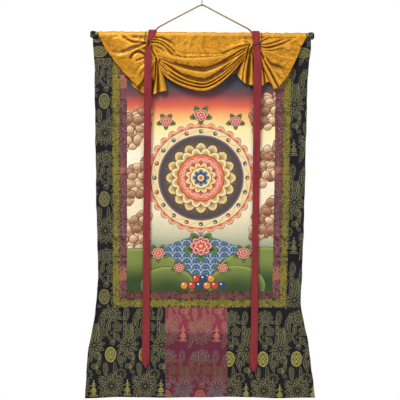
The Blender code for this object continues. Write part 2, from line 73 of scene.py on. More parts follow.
# %% Camera
VIEW_MIDDLE = (-5.5, -574.1)      # x and z of the middle of the view, in millimetres
VIEW_WIDTH = 400 * 2.76           # pixels across, and the millimetres that one takes in
CAMERA_AWAY = 4.0
SENSOR = 36.0

camera_data = bpy.data.cameras.new("view")
camera_data.sensor_width = SENSOR
camera_data.lens = SENSOR * CAMERA_AWAY / (VIEW_WIDTH * MM)
camera = new_object("view", camera_data)
camera.location = (VIEW_MIDDLE[0] * MM, -CAMERA_AWAY, VIEW_MIDDLE[1] * MM)
camera.rotation_euler = (np.pi / 2, 0, 0)
bpy.context.scene.camera = camera
print("lens:", round(camera_data.lens, 1), "mm")

# %% [markdown]
# A finish is a small calculation done at every point of a surface. Written node by node it is hard
# to read, so this helper lets numbers in a finish be added and compared like any others in Python.

# %% Numbers in a finish
TAU = 2 * np.pi


def worked_by(kind):
    """A function of numbers in a finish that one Math node works out."""
    return lambda *values: made(kind, *values)


class Field:
    """A number that a finish works out at every point. Fields add and multiply like any numbers."""

    tree = None                   # the node tree that is being written
    __add__ = __radd__ = worked_by("ADD")
    __mul__ = __rmul__ = worked_by("MULTIPLY")
    __sub__, __truediv__, __pow__, __abs__ = map(worked_by, ("SUBTRACT", "DIVIDE", "POWER", "ABSOLUTE"))

    def __init__(self, socket):
        self.socket = socket

    def __rsub__(self, other):
        return made("SUBTRACT", other, self)

    def __neg__(self):
        return made("MULTIPLY", self, -1.0)


def colour(code):
    """A colour written as six hex digits of sRGB, as the linear numbers that a finish needs."""
    parts = np.array([int(code[i:i + 2], 16) for i in (0, 2, 4)]) / 255
    linear = np.where(parts <= 0.04045, parts / 12.92, ((parts + 0.055) / 1.055) ** 2.4)
    return (*linear.tolist(), 1.0)


def put(value, socket):
    """Writes a number, a colour code or another node's result into a node's socket."""
    value = value.socket if isinstance(value, Field) else value
    if isinstance(value, bpy.types.NodeSocket):
        Field.tree.links.new(value, socket)
    else:
        socket.default_value = colour(value) if isinstance(value, str) else value


def new_node(kind, inputs, **settings):
    """A node of that kind, with its inputs filled by name or place. They are made before it, because
    a renderer works nodes out in the order they were made."""
    node = Field.tree.nodes.new("ShaderNode" + kind)
    for name, value in settings.items():
        setattr(node, name, value)
    for name, value in inputs.items():
        put(value, node.inputs[name])
    return node


def made(kind, *values):
    """The result of one Math node."""
    return Field(new_node("Math", dict(enumerate(values)), operation=kind).outputs[0])


most, least, sine, cosine = map(worked_by, ("MAXIMUM", "MINIMUM", "SINE", "COSINE"))
print("middle grey in linear numbers:", round(colour("808080")[0], 3))

# %% Distances, steps, layers and noise


def kept_number(name):
    """A number that was kept with every point of the mesh."""
    return Field(new_node("Attribute", {}, attribute_name=name).outputs["Fac"])


def away(x, y):
    """Distance from the origin: the root of x squared plus y squared."""
    return made("SQRT", x * x + y * y)


def turn_of(x, y):
    """Angle of the point (x, y), from -pi to pi."""
    return made("ARCTAN2", y, x)


def wrapped(a, half):
    """a, brought back into -half to half by whole periods."""
    return made("WRAP", a, half, -half)


def rise(a, low, high):
    """0 below low, 1 above high, and a smooth step between them. With low over high it falls."""
    falls = float(low > high)     # a smooth step already ends at 0 and 1, so nothing is clamped
    limits = {"From Min": min(low, high), "From Max": max(low, high), "To Min": falls, "To Max": 1 - falls}
    node = new_node("MapRange", {"Value": a, **limits}, interpolation_type="SMOOTHSTEP", clamp=False)
    return Field(node.outputs["Result"])


def line(distance, half_width, soft=0.3):
    """1 where a distance is under half_width on either side of nothing."""
    return rise(abs(distance), half_width + soft, half_width - soft)


def over(under, amount, upper, mode="MIX"):
    """The colour upper laid over under as far as amount says."""
    layers = {0: amount, 6: under, 7: upper}
    return new_node("Mix", layers, data_type="RGBA", blend_type=mode).outputs[2]


def ramp(value, stops):
    """A colour that runs through the stops, each a place from 0 to 1 and a colour code."""
    node = new_node("ValToRGB", {0: value})
    while len(node.color_ramp.elements) < len(stops):
        node.color_ramp.elements.new(0.5)
    for element, (place, code) in zip(node.color_ramp.elements, stops):
        element.position, element.color = place, colour(code)
    return node.outputs[0]


def point(x, y, z=0.0):
    """Three numbers as one place."""
    return new_node("CombineXYZ", {0: x, 1: y, 2: z}).outputs[0]


def parts_of(place):
    """The first two numbers of a place."""
    node = new_node("SeparateXYZ", {0: place})
    return Field(node.outputs[0]), Field(node.outputs[1])


def mottle(x, y, grain, detail=2.0, rough=0.5, warp=0.0, seed=0.0):
    """Soft random patches from 0 to 1, grain wide, worked out from the numbers x and y."""
    inputs = {"Vector": point(x, y, seed), "Scale": 1 / grain, "Detail": detail, "Roughness": rough,
              "Distortion": warp}
    return Field(new_node("TexNoise", inputs).outputs["Fac"])


print("distances, steps, layers and noise ready")

# %% Starting and dressing a finish


def cloth_place():
    """Millimetres across and up the cloth, from the piece's own map."""
    x, y = parts_of(new_node("UVMap", {}, uv_map="cloth").outputs[0])
    return x * 1000, y * 1000


def start_finish(name, roughness=0.7, metallic=0.0, sheen=0.0, specular=0.5):
    """A new finish. Numbers that are the same all over go on the shader's own sockets."""
    finish = bpy.data.materials.new(name)
    finish.use_nodes = True
    Field.tree = finish.node_tree
    shader = finish.node_tree.nodes["Principled BSDF"]
    for socket, value in (("Roughness", roughness), ("Metallic", metallic), ("Sheen Weight", sheen),
                          ("Sheen Roughness", 0.4), ("Specular IOR Level", specular)):
        put(value, shader.inputs[socket])
    return finish, shader


def dress(shader, tone, height, depth):
    """The shader's colour, and a bump of that depth, in millimetres, where height goes from 0 to 1."""
    bump = new_node("Bump", {"Distance": depth * MM, "Strength": 1.0, "Height": height})
    put(tone, shader.inputs["Base Color"])
    put(bump.outputs[0], shader.inputs["Normal"])


def weave(x, y, pitch):
    """Threads over and under, from 0 to 1: a wave across times a wave along."""
    return sine(x * (TAU / pitch)) * sine(y * (TAU / pitch)) * 0.5 + 0.5


print("finishes can be started and dressed")

# %% [markdown]
# Cloth is a sheet over two numbers: how far across and how far down. Each sheet is worked out as two
# grids of points, front and back, joined by a rim. The grids also keep the place on the flat cloth,
# which the finishes read, so a pattern hangs and folds with its cloth.

# %% Sheets from grids


def smooth_through(table, at):
    """A cubic curve through a table's rows, whose first column is the way along. Between rows the
    value is the Hermite blend of both rows' values and slopes."""
    table = np.asarray(table, float)
    if table[0, 0] > table[-1, 0]:
        table = table[::-1]
    way, values = table[:, 0], table[:, 1:]
    slope = np.gradient(values, way, axis=0)
    at = np.clip(np.asarray(at, float), way[0], way[-1])
    row = np.clip(np.searchsorted(way, at) - 1, 0, len(way) - 2)
    span = (way[row + 1] - way[row])[..., None]
    t = (at - way[row])[..., None] / span
    start, end = values[row], values[row + 1]
    return ((2 * t**3 - 3 * t**2 + 1) * start + (t**3 - 2 * t**2 + t) * span * slope[row]
            + (3 * t**2 - 2 * t**3) * end + (t**3 - t**2) * span * slope[row + 1])


def rows_through(table, at):
    """The same for a table without such a column, at row numbers."""
    return smooth_through(np.column_stack([np.arange(len(table)), table]), at)


def run_along(path):
    """How far along its path each point lies."""
    return np.concatenate([[0], np.cumsum(np.linalg.norm(np.diff(path, axis=0), axis=1))])


def add_mesh(name, points, faces, place, finishes, face_finish=None, kept=None):
    """A smooth-shaded piece from points in millimetres. Place is each point's spot on the cloth, and
    kept is one more number that the finish reads: its name, and its value at every point."""
    mesh = bpy.data.meshes.new(name)
    mesh.from_pydata((points * MM).tolist(), [], faces)
    for finish in finishes:
        mesh.materials.append(finish)
    if face_finish is not None:
        mesh.polygons.foreach_set("material_index", face_finish.astype(np.int32))
    corner = np.empty(len(mesh.loops), np.int32)
    mesh.loops.foreach_get("vertex_index", corner)
    spots = (place[corner] * MM).astype(np.float32)
    mesh.uv_layers.new(name="cloth").data.foreach_set("uv", spots.ravel())
    if kept is not None:
        numbers = mesh.attributes.new(kept[0], "FLOAT", "POINT")
        numbers.data.foreach_set("value", kept[1].astype(np.float32))
    mesh.polygons.foreach_set("use_smooth", np.ones(len(mesh.polygons), bool))
    mesh.update()
    piece = new_object(name, mesh)
    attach(piece, "root")
    return piece


def add_sheet(name, front, back, place, finishes, kept=None):
    """A closed sheet. front, back: rows by columns of points; finishes: front, back and rim."""
    rows, columns = front.shape[:2]
    count = rows * columns
    index = np.arange(count).reshape(rows, columns)
    quads = np.stack([index[:-1, :-1], index[1:, :-1], index[1:, 1:], index[:-1, 1:]], -1).reshape(-1, 4)
    rim = np.concatenate([index[0, :], index[1:, -1], index[-1, -2::-1], index[-2:0:-1, 0]])
    onward = np.roll(rim, -1)
    edge = np.stack([rim, onward, onward + count, rim + count], -1)
    faces = np.concatenate([quads, quads[:, ::-1] + count, edge]).tolist()
    which = np.repeat([0, 1, 2], [len(quads), len(quads), len(edge)])
    points = np.concatenate([front.reshape(-1, 3), back.reshape(-1, 3)])
    spots = np.tile(place.reshape(-1, 2), (2, 1))
    if kept is not None:
        kept = (kept[0], np.tile(kept[1].ravel(), 2))
    return add_mesh(name, points, faces, spots, finishes, np.minimum(which, len(finishes) - 1), kept)


print("sheet makers ready")

# %% [markdown]
# Cords come before cloth, because their routes were settled with the solids. On the real scroll they
# are two strands of faded green and brown cotton, twisted round each other. A curve with a round bevel
# would be quick, but it shows no strands. So each cord is a profile carried along its route, a soft
# figure of eight that turns as it goes.

# %% Cord finish


def cord_finish(name, tones):
    """Cotton, darkened in random fibres; tones run along the cord."""
    finish, shader = start_finish(name, roughness=0.85, sheen=0.1, specular=0.2)
    tone = ramp(kept_number("along"), tones)
    x, y = cloth_place()
    fibre = mottle(x * 6, y, 0.9, detail=3)
    dress(shader, over(tone, fibre * 0.35, "2a2418", "MULTIPLY"), fibre, 0.15)
    return finish


hanging_tones = ((0.0, "6a4a1e"), (0.2, "94702c"), (0.35, "b08434"), (0.47, "8f8450"), (0.5, "74745a"),
                 (0.53, "8f8450"), (0.68, "a87c30"), (0.82, "86602a"), (1.0, "5c3e1c"))
cord_cotton = cord_finish("cord_cotton", hanging_tones)
tie_cotton = cord_finish("tie_cotton", ((0.0, "3b382c"), (1.0, "45402f")))
print("cord finishes:", cord_cotton.name, tie_cotton.name)

# %% Cords along their routes
# x, distance in front of the cloth's plane, z
HANGING_ROUTE = (
    (-124.5, -2.7, -172), (-124.5, -4.4, -158), (-124.5, -10, -142), (-124.6, -14.6, -128),
    (-125.2, -15.2, -114), (-127, -10.5, -103.6), (-122, -5.5, -98.5), (-104, -3, -88.4),
    (-78, -1.6, -74.6), (-50, -0.8, -60), (-24, -0.2, -46.5), (-8.5, 0, -38.6), (-3.2, 0, -36.4),
    (0, 0, -35.7), (3.2, 0, -36.4), (8.5, 0, -39), (26, -0.2, -48.2), (54, -0.8, -63), (84, -1.6, -78.8),
    (112, -3, -93.4), (130, -5.5, -103.2), (136, -10.5, -108.6), (134.8, -15.2, -118), (134.2, -15, -132),
    (134, -10, -146), (134, -4.4, -162), (134, -2.7, -176),
)
TIE_LEFT_ROUTE = (
    (-154, 6.5, -107.8), (-155.2, 12.2, -112.5), (-157, 15.6, -123), (-158.2, 18.4, -133),
    (-155.8, 20.9, -139.8), (-151.5, 22.5, -143.2), (-147, 22.85, -144.6), (-142.4, 22.4, -144.4),
    (-139.2, 20.9, -142.6),
)
TIE_RIGHT_ROUTE = (
    (161.6, 6.5, -111.2), (162.4, 12.4, -116.4), (163, 16.6, -126), (162.6, 20, -136), (159, 22.4, -143),
    (153.5, 22.9, -146), (147.5, 23.1, -147.4), (142, 23.3, -148.6), (139.4, 23.9, -152.6),
    (140.2, 24.6, -158.5), (141.6, 25.2, -164),
)


def path_through(route, spacing):
    """Points at even distances along a smooth curve through the route, in millimetres."""
    route = np.array([(x, -out, z) for x, out, z in route], float)
    way = run_along(route)
    count = max(6, round(way[-1] / spacing))
    return smooth_through(np.column_stack([way, route]), np.linspace(0, way[-1], count + 1))


CORD_SIDES = 12
END_SIZE, END_OUT = 0.55, 0.3     # a tube's last ring, and how far its tip stands out, in radii


def carry_round(name, path, radius, sides, finish, section=None):
    """A tube: at each point of the path, a ring in the plane across it. The ring's radius is radius
    times section(angle, distance along), and both ends are drawn in to a blunt tip."""
    ahead = np.gradient(path, axis=0)
    ahead /= np.linalg.norm(ahead, axis=1)[:, None]
    side = np.cross(ahead, (0.0, 1.0, 0.02))
    side /= np.linalg.norm(side, axis=1)[:, None]
    up = np.cross(side, ahead)
    along = run_along(path)
    turn = np.linspace(0, TAU, sides, endpoint=False)
    size = radius * (section(turn[None, :], along[:, None]) if section else np.ones((len(path), sides)))
    size[[0, -1]] *= END_SIZE
    ring = (path[:, None] + side[:, None] * (size * np.cos(turn))[..., None]
            + up[:, None] * (size * np.sin(turn))[..., None])
    count = len(path) * sides
    index = np.arange(count).reshape(len(path), sides)
    onward = np.roll(index, -1, axis=1)
    faces = np.stack([index[:-1], onward[:-1], onward[1:], index[1:]], -1).reshape(-1, 4).tolist()
    for first, second, tip in ((onward[0], index[0], count), (index[-1], onward[-1], count + 1)):
        faces += np.stack([first, second, np.full(sides, tip)], -1).tolist()
    points = np.concatenate([ring.reshape(-1, 3), path[[0]] - ahead[[0]] * radius * END_OUT,
                             path[[-1]] + ahead[[-1]] * radius * END_OUT])
    place = np.stack([np.tile(turn / TAU * 6, len(path)), np.repeat(along, sides)], -1)
    place = np.concatenate([place, [[0, 0], [0, along[-1]]]])
    share = np.concatenate([np.repeat(along / along[-1], sides), [0, 1]])
    return add_mesh(name, points, faces, place, [finish], kept=("along", share)), along[-1]


def two_strands(twist):
    """Section of a cord of two strands: widest twice round, and alike again every twist mm."""
    return lambda turn, along: 0.80 + 0.24 * np.abs(np.cos(turn - np.pi * along / twist)) ** 0.8


CORDS = (        # solid, route, diameter, twist, distance between rings, finish, slot, how it lies
    ("hanging_cord", HANGING_ROUTE, 4.0, 6.5, 0.9, cord_cotton, "cord", "taut"),
    ("tie_left", TIE_LEFT_ROUTE, 1.8, 3.6, 0.6, tie_cotton, "dark_cord", "hanging"),
    ("tie_right", TIE_RIGHT_ROUTE, 1.8, 3.6, 0.6, tie_cotton, "dark_cord", "hanging"),
)
for solid, route, diameter, twist, spacing, finish, slot, lay in CORDS:
    path = path_through(route, spacing)
    piece, length = carry_round(solid + "_twist", path, diameter / 2, CORD_SIDES, finish, two_strands(twist))
    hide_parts(solid)
    (path[0] * MM).tolist()
    diameter * MM
    (path[::4] * MM).tolist() + [(path[-1] * MM).tolist()]
    print(piece.name, round(length), "mm")

# %% [markdown]
# The hook is one dark wire, bent by hand. Here a bevelled curve would do, but the cords' tube is there
# already: a round section is carried along the bends, without twist. A little noise in the tone keeps
# it from looking like plastic.

# %% Wire hook
WIRE, EYE_RADIUS, BOWL_RADIUS, BOWL_Z = 2.0, 6.5, 4.2, -34.4
wire_finish, shader = start_finish("dark_wire", roughness=0.42, metallic=0.85)
x, y = cloth_place()
scratch = mottle(x, y * 0.2, 1.2, detail=4)
dress(shader, over("1c1b19", scratch, "4a4640"), scratch, 0.05)

bowl = np.linspace(-0.95, 1.0, 40) * np.pi / 2
shank_z = np.array([BOWL_Z + 2.5, BOWL_Z + 5.0, BOWL_Z + 10.0, -16.5])
eye = np.linspace(-0.5, 1.32, 90) * np.pi
eye_z = -EYE_RADIUS - WIRE / 2
wire_path = np.concatenate([
    np.stack([0 * bowl, BOWL_RADIUS * np.sin(bowl), BOWL_Z - BOWL_RADIUS * np.cos(bowl)], -1),
    np.stack([0 * shank_z, np.array([0.95, 0.75, 0.1, 0.0]) * BOWL_RADIUS, shank_z], -1),
    np.stack([EYE_RADIUS * np.cos(eye), -0.9 * eye / np.pi, eye_z + EYE_RADIUS * np.sin(eye)], -1)])
hook, length = carry_round("wire_hook_bent", wire_path, WIRE / 2, CORD_SIDES + 2, wire_finish)
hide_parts("wire_hook")
print("hook wire", round(length), "mm")

# %% [markdown]
# The flat cloths are cut from one layout, so that their seams meet. Each seam column has its x at a
# few heights, because the scroll draws in to a waist and flares at the foot. Flat planes would look
# like card. These sheets hang in slow waves, sink into their seams and pucker beside them, which is
# what makes sewn cloth look sewn.

# %% Layout of the flat cloths
COLUMN_HEIGHTS = (-182, -400, -620, -850)
COLUMNS = {
    "middle_l": (-247.5, -247.5, -246.5, -245.5), "inner_l": (-227.5, -227.5, -227.5, -227.5),
    "paint_l": (-207, -207, -207, -208), "paint_r": (203.5, 201.5, 198.5, 193.5),
    "inner_r": (226, 223.5, 220, 214.5), "middle_r": (246.5, 243.5, 239.5, 232.5),
}
EDGES = {           # z, x
    "left": ((-107, -300), (-146, -300.5), (-188, -297.5), (-298, -295.5), (-397, -294),
             (-574, -291.7), (-842, -290.1), (-872, -293), (-927, -302), (-985, -312.7),
             (-1071, -320.2), (-1122, -322.4)),
    "right": ((-107, 302), (-166, 299.5), (-188, 296), (-326, 289.5), (-436, 286.2), (-574, 283),
              (-781, 276), (-858, 273), (-914, 281.8), (-974, 294), (-1046, 303), (-1122, 312)),
}
APRON_SEAMS = {"apron_l": (-101.5, -101.0), "apron_r": (68.5, 71.0)}     # x at the top and the foot
ROW_HEAD, ROW_MIDDLE, ROW_INNER = -182.0, -203.0, -224.5
ROW_PAINT, ROW_INNER_FOOT, ROW_MIDDLE_FOOT, ROW_FOOT = -826.0, -847.5, -870.5, -1120.0
ROLL_RADIUS, ROLL_ENDS, ROLL_HEIGHTS = 8.4, (-309.0, 310.0), (-118.4, -123.0)


def hang(x, z):
    """Slow waves of the hung cloth, and deeper folds in the flaring apron: sums of sines."""
    apron = np.clip((ROW_MIDDLE_FOOT + 60 - z) / 250, 0, 1)
    slow = (1.3 * np.sin(TAU * x / 390 + 0.7 + z / 900)
            + 0.9 * np.sin(TAU * z / 520 + x / 240))
    folds = 3.2 * np.sin(TAU * x / 172 + 0.5) + 1.8 * np.sin(TAU * x / 97 + 2.0 + z / 160)
    return slow * (1 - np.clip((z - ROW_HEAD + 80) / 70, 0, 1)) + folds * apron


def droop(x, z):
    """Height of a row that is level in the layout: it follows the tilted roll and the uneven foot."""
    tilt = (ROLL_HEIGHTS[1] - ROLL_HEIGHTS[0]) * (x - ROLL_ENDS[0]) / (ROLL_ENDS[1] - ROLL_ENDS[0])
    foot = np.clip((-z - 1000) / 120, 0, 1)
    return z + tilt * np.clip((z + 320) / 200, 0, 1) + foot * (1.2 * np.sin(x / 46) + 1.6 * np.cos(x / 190))


def column(name, z):
    """x of a seam or an outer edge at the heights z. Both wander by less than a millimetre, but for
    the seams of the apron, which are straight."""
    if name in EDGES:
        wander = 0.5 * np.sin(z / 23 + len(name)) + 0.35 * np.sin(z / 9.1)
        return smooth_through(EDGES[name], z)[..., 0] + wander
    if name in APRON_SEAMS:
        top, foot = APRON_SEAMS[name]
        return np.interp(z, (ROW_FOOT, ROW_MIDDLE_FOOT), (foot, top))
    wander = 0.25 * np.sin(z / 17 + len(name)) + 0.2 * np.sin(z / 6.3)
    return smooth_through(np.column_stack([COLUMN_HEIGHTS, COLUMNS[name]]), z)[..., 0] + wander


def marks(length, step):
    """Shares of a length: close together at both ends, where cloth turns under, even between."""
    turned = np.array([0, 0.3, 0.9, 2.0, 3.4])
    first, last = turned[-1], length - turned[-1]
    inner = np.linspace(first, last, max(2, round((last - first) / step)) + 1)[1:-1]
    return np.concatenate([turned, inner, length - turned[::-1]]) / length


def pucker(inside, along, pitch, depth):
    """Small gathers beside a seam: a sine along it whose pitch drifts, fading with distance in."""
    drift = along + 5 * np.sin(along / 31) + 2.5 * np.sin(along / 11 + 1)
    return depth * np.exp(-inside / 7.0) * (1 - np.exp(-inside / 1.2)) * np.sin(TAU * drift / pitch)


print("columns:", ", ".join([*COLUMNS, *EDGES, *APRON_SEAMS]))

# %% Flat cloths
CLOTH = 1.3                # thickness of a panel that shows; the plain solid's is 1.5
SEAM_LAP = 0.25            # each piece runs this far under its neighbour, so no light shows through
STRIP_STEP, PANEL_STEP = 2.4, 3.0     # spacing of the grid
SIDES = ("left", "right", "top", "foot")
PUCKERS, PUCKER_DEPTH = (13.0, 14.5, 12.0, 15.5), 0.4     # pitch of the small gathers along each side
HEM, HEM_HIGH, STITCH = 8.0, 0.45, 0.3     # width of a turned hem, its height, and its stitched groove


def flat_cloth(name, left, right, top, foot, slot, finishes, inner=None, motif=(0, 0), hem=(),
               lying=False):
    """A panel between two columns and two rows. A strip of the border has mitred ends: inner names
    the side towards the painting and how much shorter that side is at either end. Thickness goes
    from nothing at the rim to CLOTH at that distance in, as a quarter circle."""
    middle_z = (top + foot) / 2
    width = float(column(right, middle_z) - column(left, middle_z))
    height = top - foot
    step = STRIP_STEP if inner else PANEL_STEP
    u, v = np.meshgrid(marks(width, step), marks(height, step))
    side, first, last = inner or ("", 0, 0)
    toward = {"left": 1 - u, "right": u, "top": 1 - v, "foot": v, "": 0 * u}[side]
    upright = side in ("left", "right")
    lap = SEAM_LAP * (2 if inner else 1)
    z = (top - toward * first * upright) * (1 - v) + (foot + toward * last * upright) * v + lap * (1 - 2 * v)
    x = ((column(left, z) + toward * first * (not upright) - lap) * (1 - u)
         + (column(right, z) - toward * last * (not upright) + lap) * u)
    inside = dict(zip(SIDES, (u * width, (1 - u) * width, v * height, (1 - v) * height)))
    relief = sum(pucker(near, along, pitch, PUCKER_DEPTH)
                 for near, along, pitch in zip(inside.values(), (z, z, x, x), PUCKERS))
    relief += 0.18 * np.sin(x / 8.3 + 2 * np.sin(z / 37)) * np.sin(z / 10.7 + 2 * np.sin(x / 29))
    for side in hem:
        relief += HEM_HIGH * (1 - 1 / (1 + np.exp(-(inside[side] - HEM) / 0.5)))
        relief -= STITCH * np.exp(-((inside[side] - HEM - 1) / 0.9) ** 2)
    turned = 1 - np.clip(np.minimum.reduce(list(inside.values())) / CLOTH, 0.01, 1)
    half = CLOTH / 2 * np.sqrt(1 - turned ** 2)
    stand, level = hang(x, z) + relief, droop(x, z)
    front = np.stack([x, -stand - half, level], -1)
    back = np.stack([x, -stand + half + 0.3 * relief, level], -1)
    place = x - motif[0], z - motif[1]
    if lying:
        place = -place[1], place[0] * 0.96
    if inner:
        place = ((u - 0.5) * width, z) if upright else ((v - 0.5) * height, x)
    piece = add_sheet(name + "_cloth", front, back, np.stack(place, -1), finishes)
    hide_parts(name)
    height * MM
    print(piece.name, round(width), "x", round(height), "mm,", len(piece.data.polygons), "faces")


print("flat cloth maker ready")

# %% [markdown]
# Brocade is woven on a loom that repeats one drawing, here every 93 mm across and 270 mm up. Each
# motif is one formula: how far a point lies outside the motif's outline, in millimetres. A leaf is
# two arcs, a curl a spiral, a bloom a circle whose edge rises and falls with the angle. Lines are
# then woven wherever that distance is a whole number of steps, so every motif is filled by smaller
# and smaller outlines of itself, as the real threads do. An image of the drawing would be simpler to
# use, but it blurs close up, and a formula stays sharp.

# %% Motifs of the brocade
REPEAT = (92.8, 270.0)
THREAD = 0.75              # half the width of a drawn line
NEST = 2.15                # half the way from one outline in a motif to the next


def nearest(x, y, at, turn=0.0):
    """x and y measured from the nearest repeat of the point at, in axes turned by turn degrees."""
    x, y = wrapped(x - at[0], REPEAT[0] / 2), wrapped(y - at[1], REPEAT[1] / 2)
    if turn == 0:
        return x, y
    c, s = float(np.cos(np.radians(turn))), float(np.sin(np.radians(turn)))
    return x * c + y * s, y * c - x * s


def leaf(x, y, length, width, bend):
    """Along x from 0 to length, about a bent middle. Its half width is 2.6 width t (1 - t)^1/2, where
    t is the share of the length."""
    t = x / length
    half = made("SQRT", most(1 - t, 0.0)) * most(t, 0.0) * (2.6 * width)
    return most(abs(y - t * t * (1.8 * bend)) - half, most(-x, x - length))


def curl(x, y, size, hand):
    """A spiral band, its arm moving out 9.6 mm a turn."""
    arm = wrapped(away(x, y) - turn_of(x, y) * (hand * 9.6 / TAU), 4.8)
    return most(abs(arm) - 2.4, away(x, y) - size)


def bloom(x, y, size, petals, depth):
    """Round petals about a middle: the edge comes in from size by depth times size, as 1 - |cos|^0.7."""
    lobe = 1 - abs(cosine(turn_of(x, y) * (petals / 2))) ** 0.7
    return (away(x, y) + lobe * (depth * size) - size) * 0.9


def rays(x, y, size, start, petals, full):
    """Pointed petals side by side in a ring, from start out to size: |across| - half the width, which
    goes as the sine of the way out, raised to 0.7."""
    r = away(x, y)
    across = wrapped(turn_of(x, y), np.pi / petals) * r
    half = sine(least(most((r - start) / (size - start), 0.0), 1.0) * np.pi) ** 0.7 * full
    return most(abs(across) - half, most(start - r, r - size))


print("kinds of motif:", ", ".join(kind.__name__ for kind in (leaf, curl, bloom, rays)))

# %% One repeat of the drawing
MOTIFS = (       # kind, middle or root (x, y), turn, sizes of the kind; each lies over those before it
    (leaf, (-31, 138), 62, (26, 5, 3)), (leaf, (44, 14), -112, (34, 4.5, 4)),
    (leaf, (43, 40), 100, (54, 4.2, -4)), (leaf, (36, 84), 68, (47, 7.5, 5)),
    (leaf, (40, 98), 152, (17, 4, 3)), (leaf, (52, 40), 72, (46, 4, 5)), (leaf, (61, 72), 72, (50, 7.5, 0)),
    (leaf, (49, 46), 90, (40, 6.5, 0)), (leaf, (45, 34), 108, (36, 4, -2)),
    (leaf, (52, 34), 72, (36, 4, 2)), (leaf, (73, 74), 86, (25, 4.5, 2)), (curl, (73, 60), 60, (12.5, 1)),
    (leaf, (-9, 58), -70, (28, 4, 6)), (curl, (5, 31), 200, (6.4, 1)),
    (bloom, (18.5, 76.6), 18, (13, 5, 0.3)), (leaf, (12, 58), 150, (13, 3.5, 2)),
    (curl, (18, 50), 180, (9.5, -1)), (leaf, (40, 18), 200, (27, 5.5, 4)),
    (rays, (48, 27), 8, (30, 2, 10, 5.6)), (leaf, (64, -3), -95, (37, 5, -4)),
    (curl, (57, -4), 90, (10, -1)), (leaf, (30, -36), 100, (36, 6.5, 0)), (curl, (48, -33), 0, (8, -1)),
    (leaf, (52, -38), -50, (19, 4, 0)), (leaf, (-12, -64), 94, (42, 6.5, 0)),
    (leaf, (6, -60), 66, (37, 4, 6)), (rays, (28, -54), 0, (16, 1, 9, 3.6)),
    (curl, (-26, -68), 40, (9, 1)), (rays, (2.5, -88), 4, (36, 8, 16, 5.2)),
    (rays, (2.5, -88), 15, (22, 2, 11, 4.4)), (leaf, (-4, 98), -94, (32, 5.5, 0)),
    (curl, (-14, 121), 0, (7, 1)), (rays, (6, 112), 10, (23, 5, 9, 7)), (bloom, (6, 112), 10, (11, 5, 0.3)),
)


def medallion(x, y, wide, high):
    """An oval of gold with a dark ring and a mirrored lattice left out of it."""
    oval = away(x / wide, y / high) * wide
    fold_x, fold_y = abs(x), abs(y)
    dark = most(line(wrapped(fold_x + fold_y * 0.62 - 1.2, 3.6), 0.8),
                line(wrapped(fold_x - fold_y * 0.75, 4.4), 0.7)) * rise(oval, wide - 4.0, wide - 4.8)
    inside = rise(oval, wide + 0.8, wide + 0.2)
    return inside * (1 - most(dark, line(oval - wide + 3.4, 0.7))), inside


def finial(x, y, high):
    """A spire: bars on a stem, each as wide as the outline of the spire at that height."""
    up = y / high + 0.5
    wide = (1 - up) * 8.0 + 2.2 + sine(up * 19.0 + 0.8) * 2.4
    bars = line(wrapped(y - abs(x) * 0.3, 2.9), 1.2) * rise(abs(x) - wide, 0.4, -0.4)
    knob = line(away(x, y + high * 0.12) - 5.0, 0.9)
    return most(most(bars, line(x, 1.1)), knob) * rise(abs(y), high / 2, high / 2 - 0.6)


print("motifs in a repeat:", len(MOTIFS))

# %% [markdown]
# The drawing is kept once, in a node group that three brocades share: black for the borders and the
# foot, wine red for the middle of the foot. Where two motifs meet, the later one cuts a narrow gap
# into the earlier. A little noise moves the drawing about, since threads are never quite even.

# %% Drawing shared by the brocades
drawing = bpy.data.node_groups.new("brocade_drawing", "ShaderNodeTree")
for name, way in (("Cloth", "INPUT"), ("Lines", "OUTPUT"), ("Filled", "OUTPUT"), ("Gold", "OUTPUT"),
                  ("Medals", "OUTPUT")):
    kind = "NodeSocketVector" if way == "INPUT" else "NodeSocketFloat"
    drawing.interface.new_socket(name=name, in_out=way, socket_type=kind)
Field.tree = drawing
group_in, group_out = drawing.nodes.new("NodeGroupInput"), drawing.nodes.new("NodeGroupOutput")
x, y = parts_of(group_in.outputs[0])
shift_x, shift_y = mottle(x, y, 8.0, seed=3.0) - 0.5, mottle(x, y, 8.0, seed=8.0) - 0.5
x, y = x + shift_x * 2.6, y + shift_y * 2.6
outside = None
for kind, at, turn, sizes in MOTIFS:
    edge = kind(*nearest(x, y, at, turn), *sizes)
    outside = edge if outside is None else least(edge, most(outside, 1.5 - edge))
oval, oval_inside = medallion(*nearest(x, y, (0, 0)), 14.6, 20.5)
spire = finial(*nearest(x, y, (46.4, -92)), 46.0)
clear = (1 - oval_inside) * (1 - spire)
filled = rise(outside, THREAD + 0.2, THREAD - 0.3)
put(line(wrapped(outside, NEST), THREAD, 0.35) * filled * clear, group_out.inputs["Lines"])
put(filled * clear, group_out.inputs["Filled"])
put(most(oval, spire), group_out.inputs["Gold"])
put(oval_inside, group_out.inputs["Medals"])
print("nodes in the drawing:", len(drawing.nodes))

# %% Three brocades from one drawing


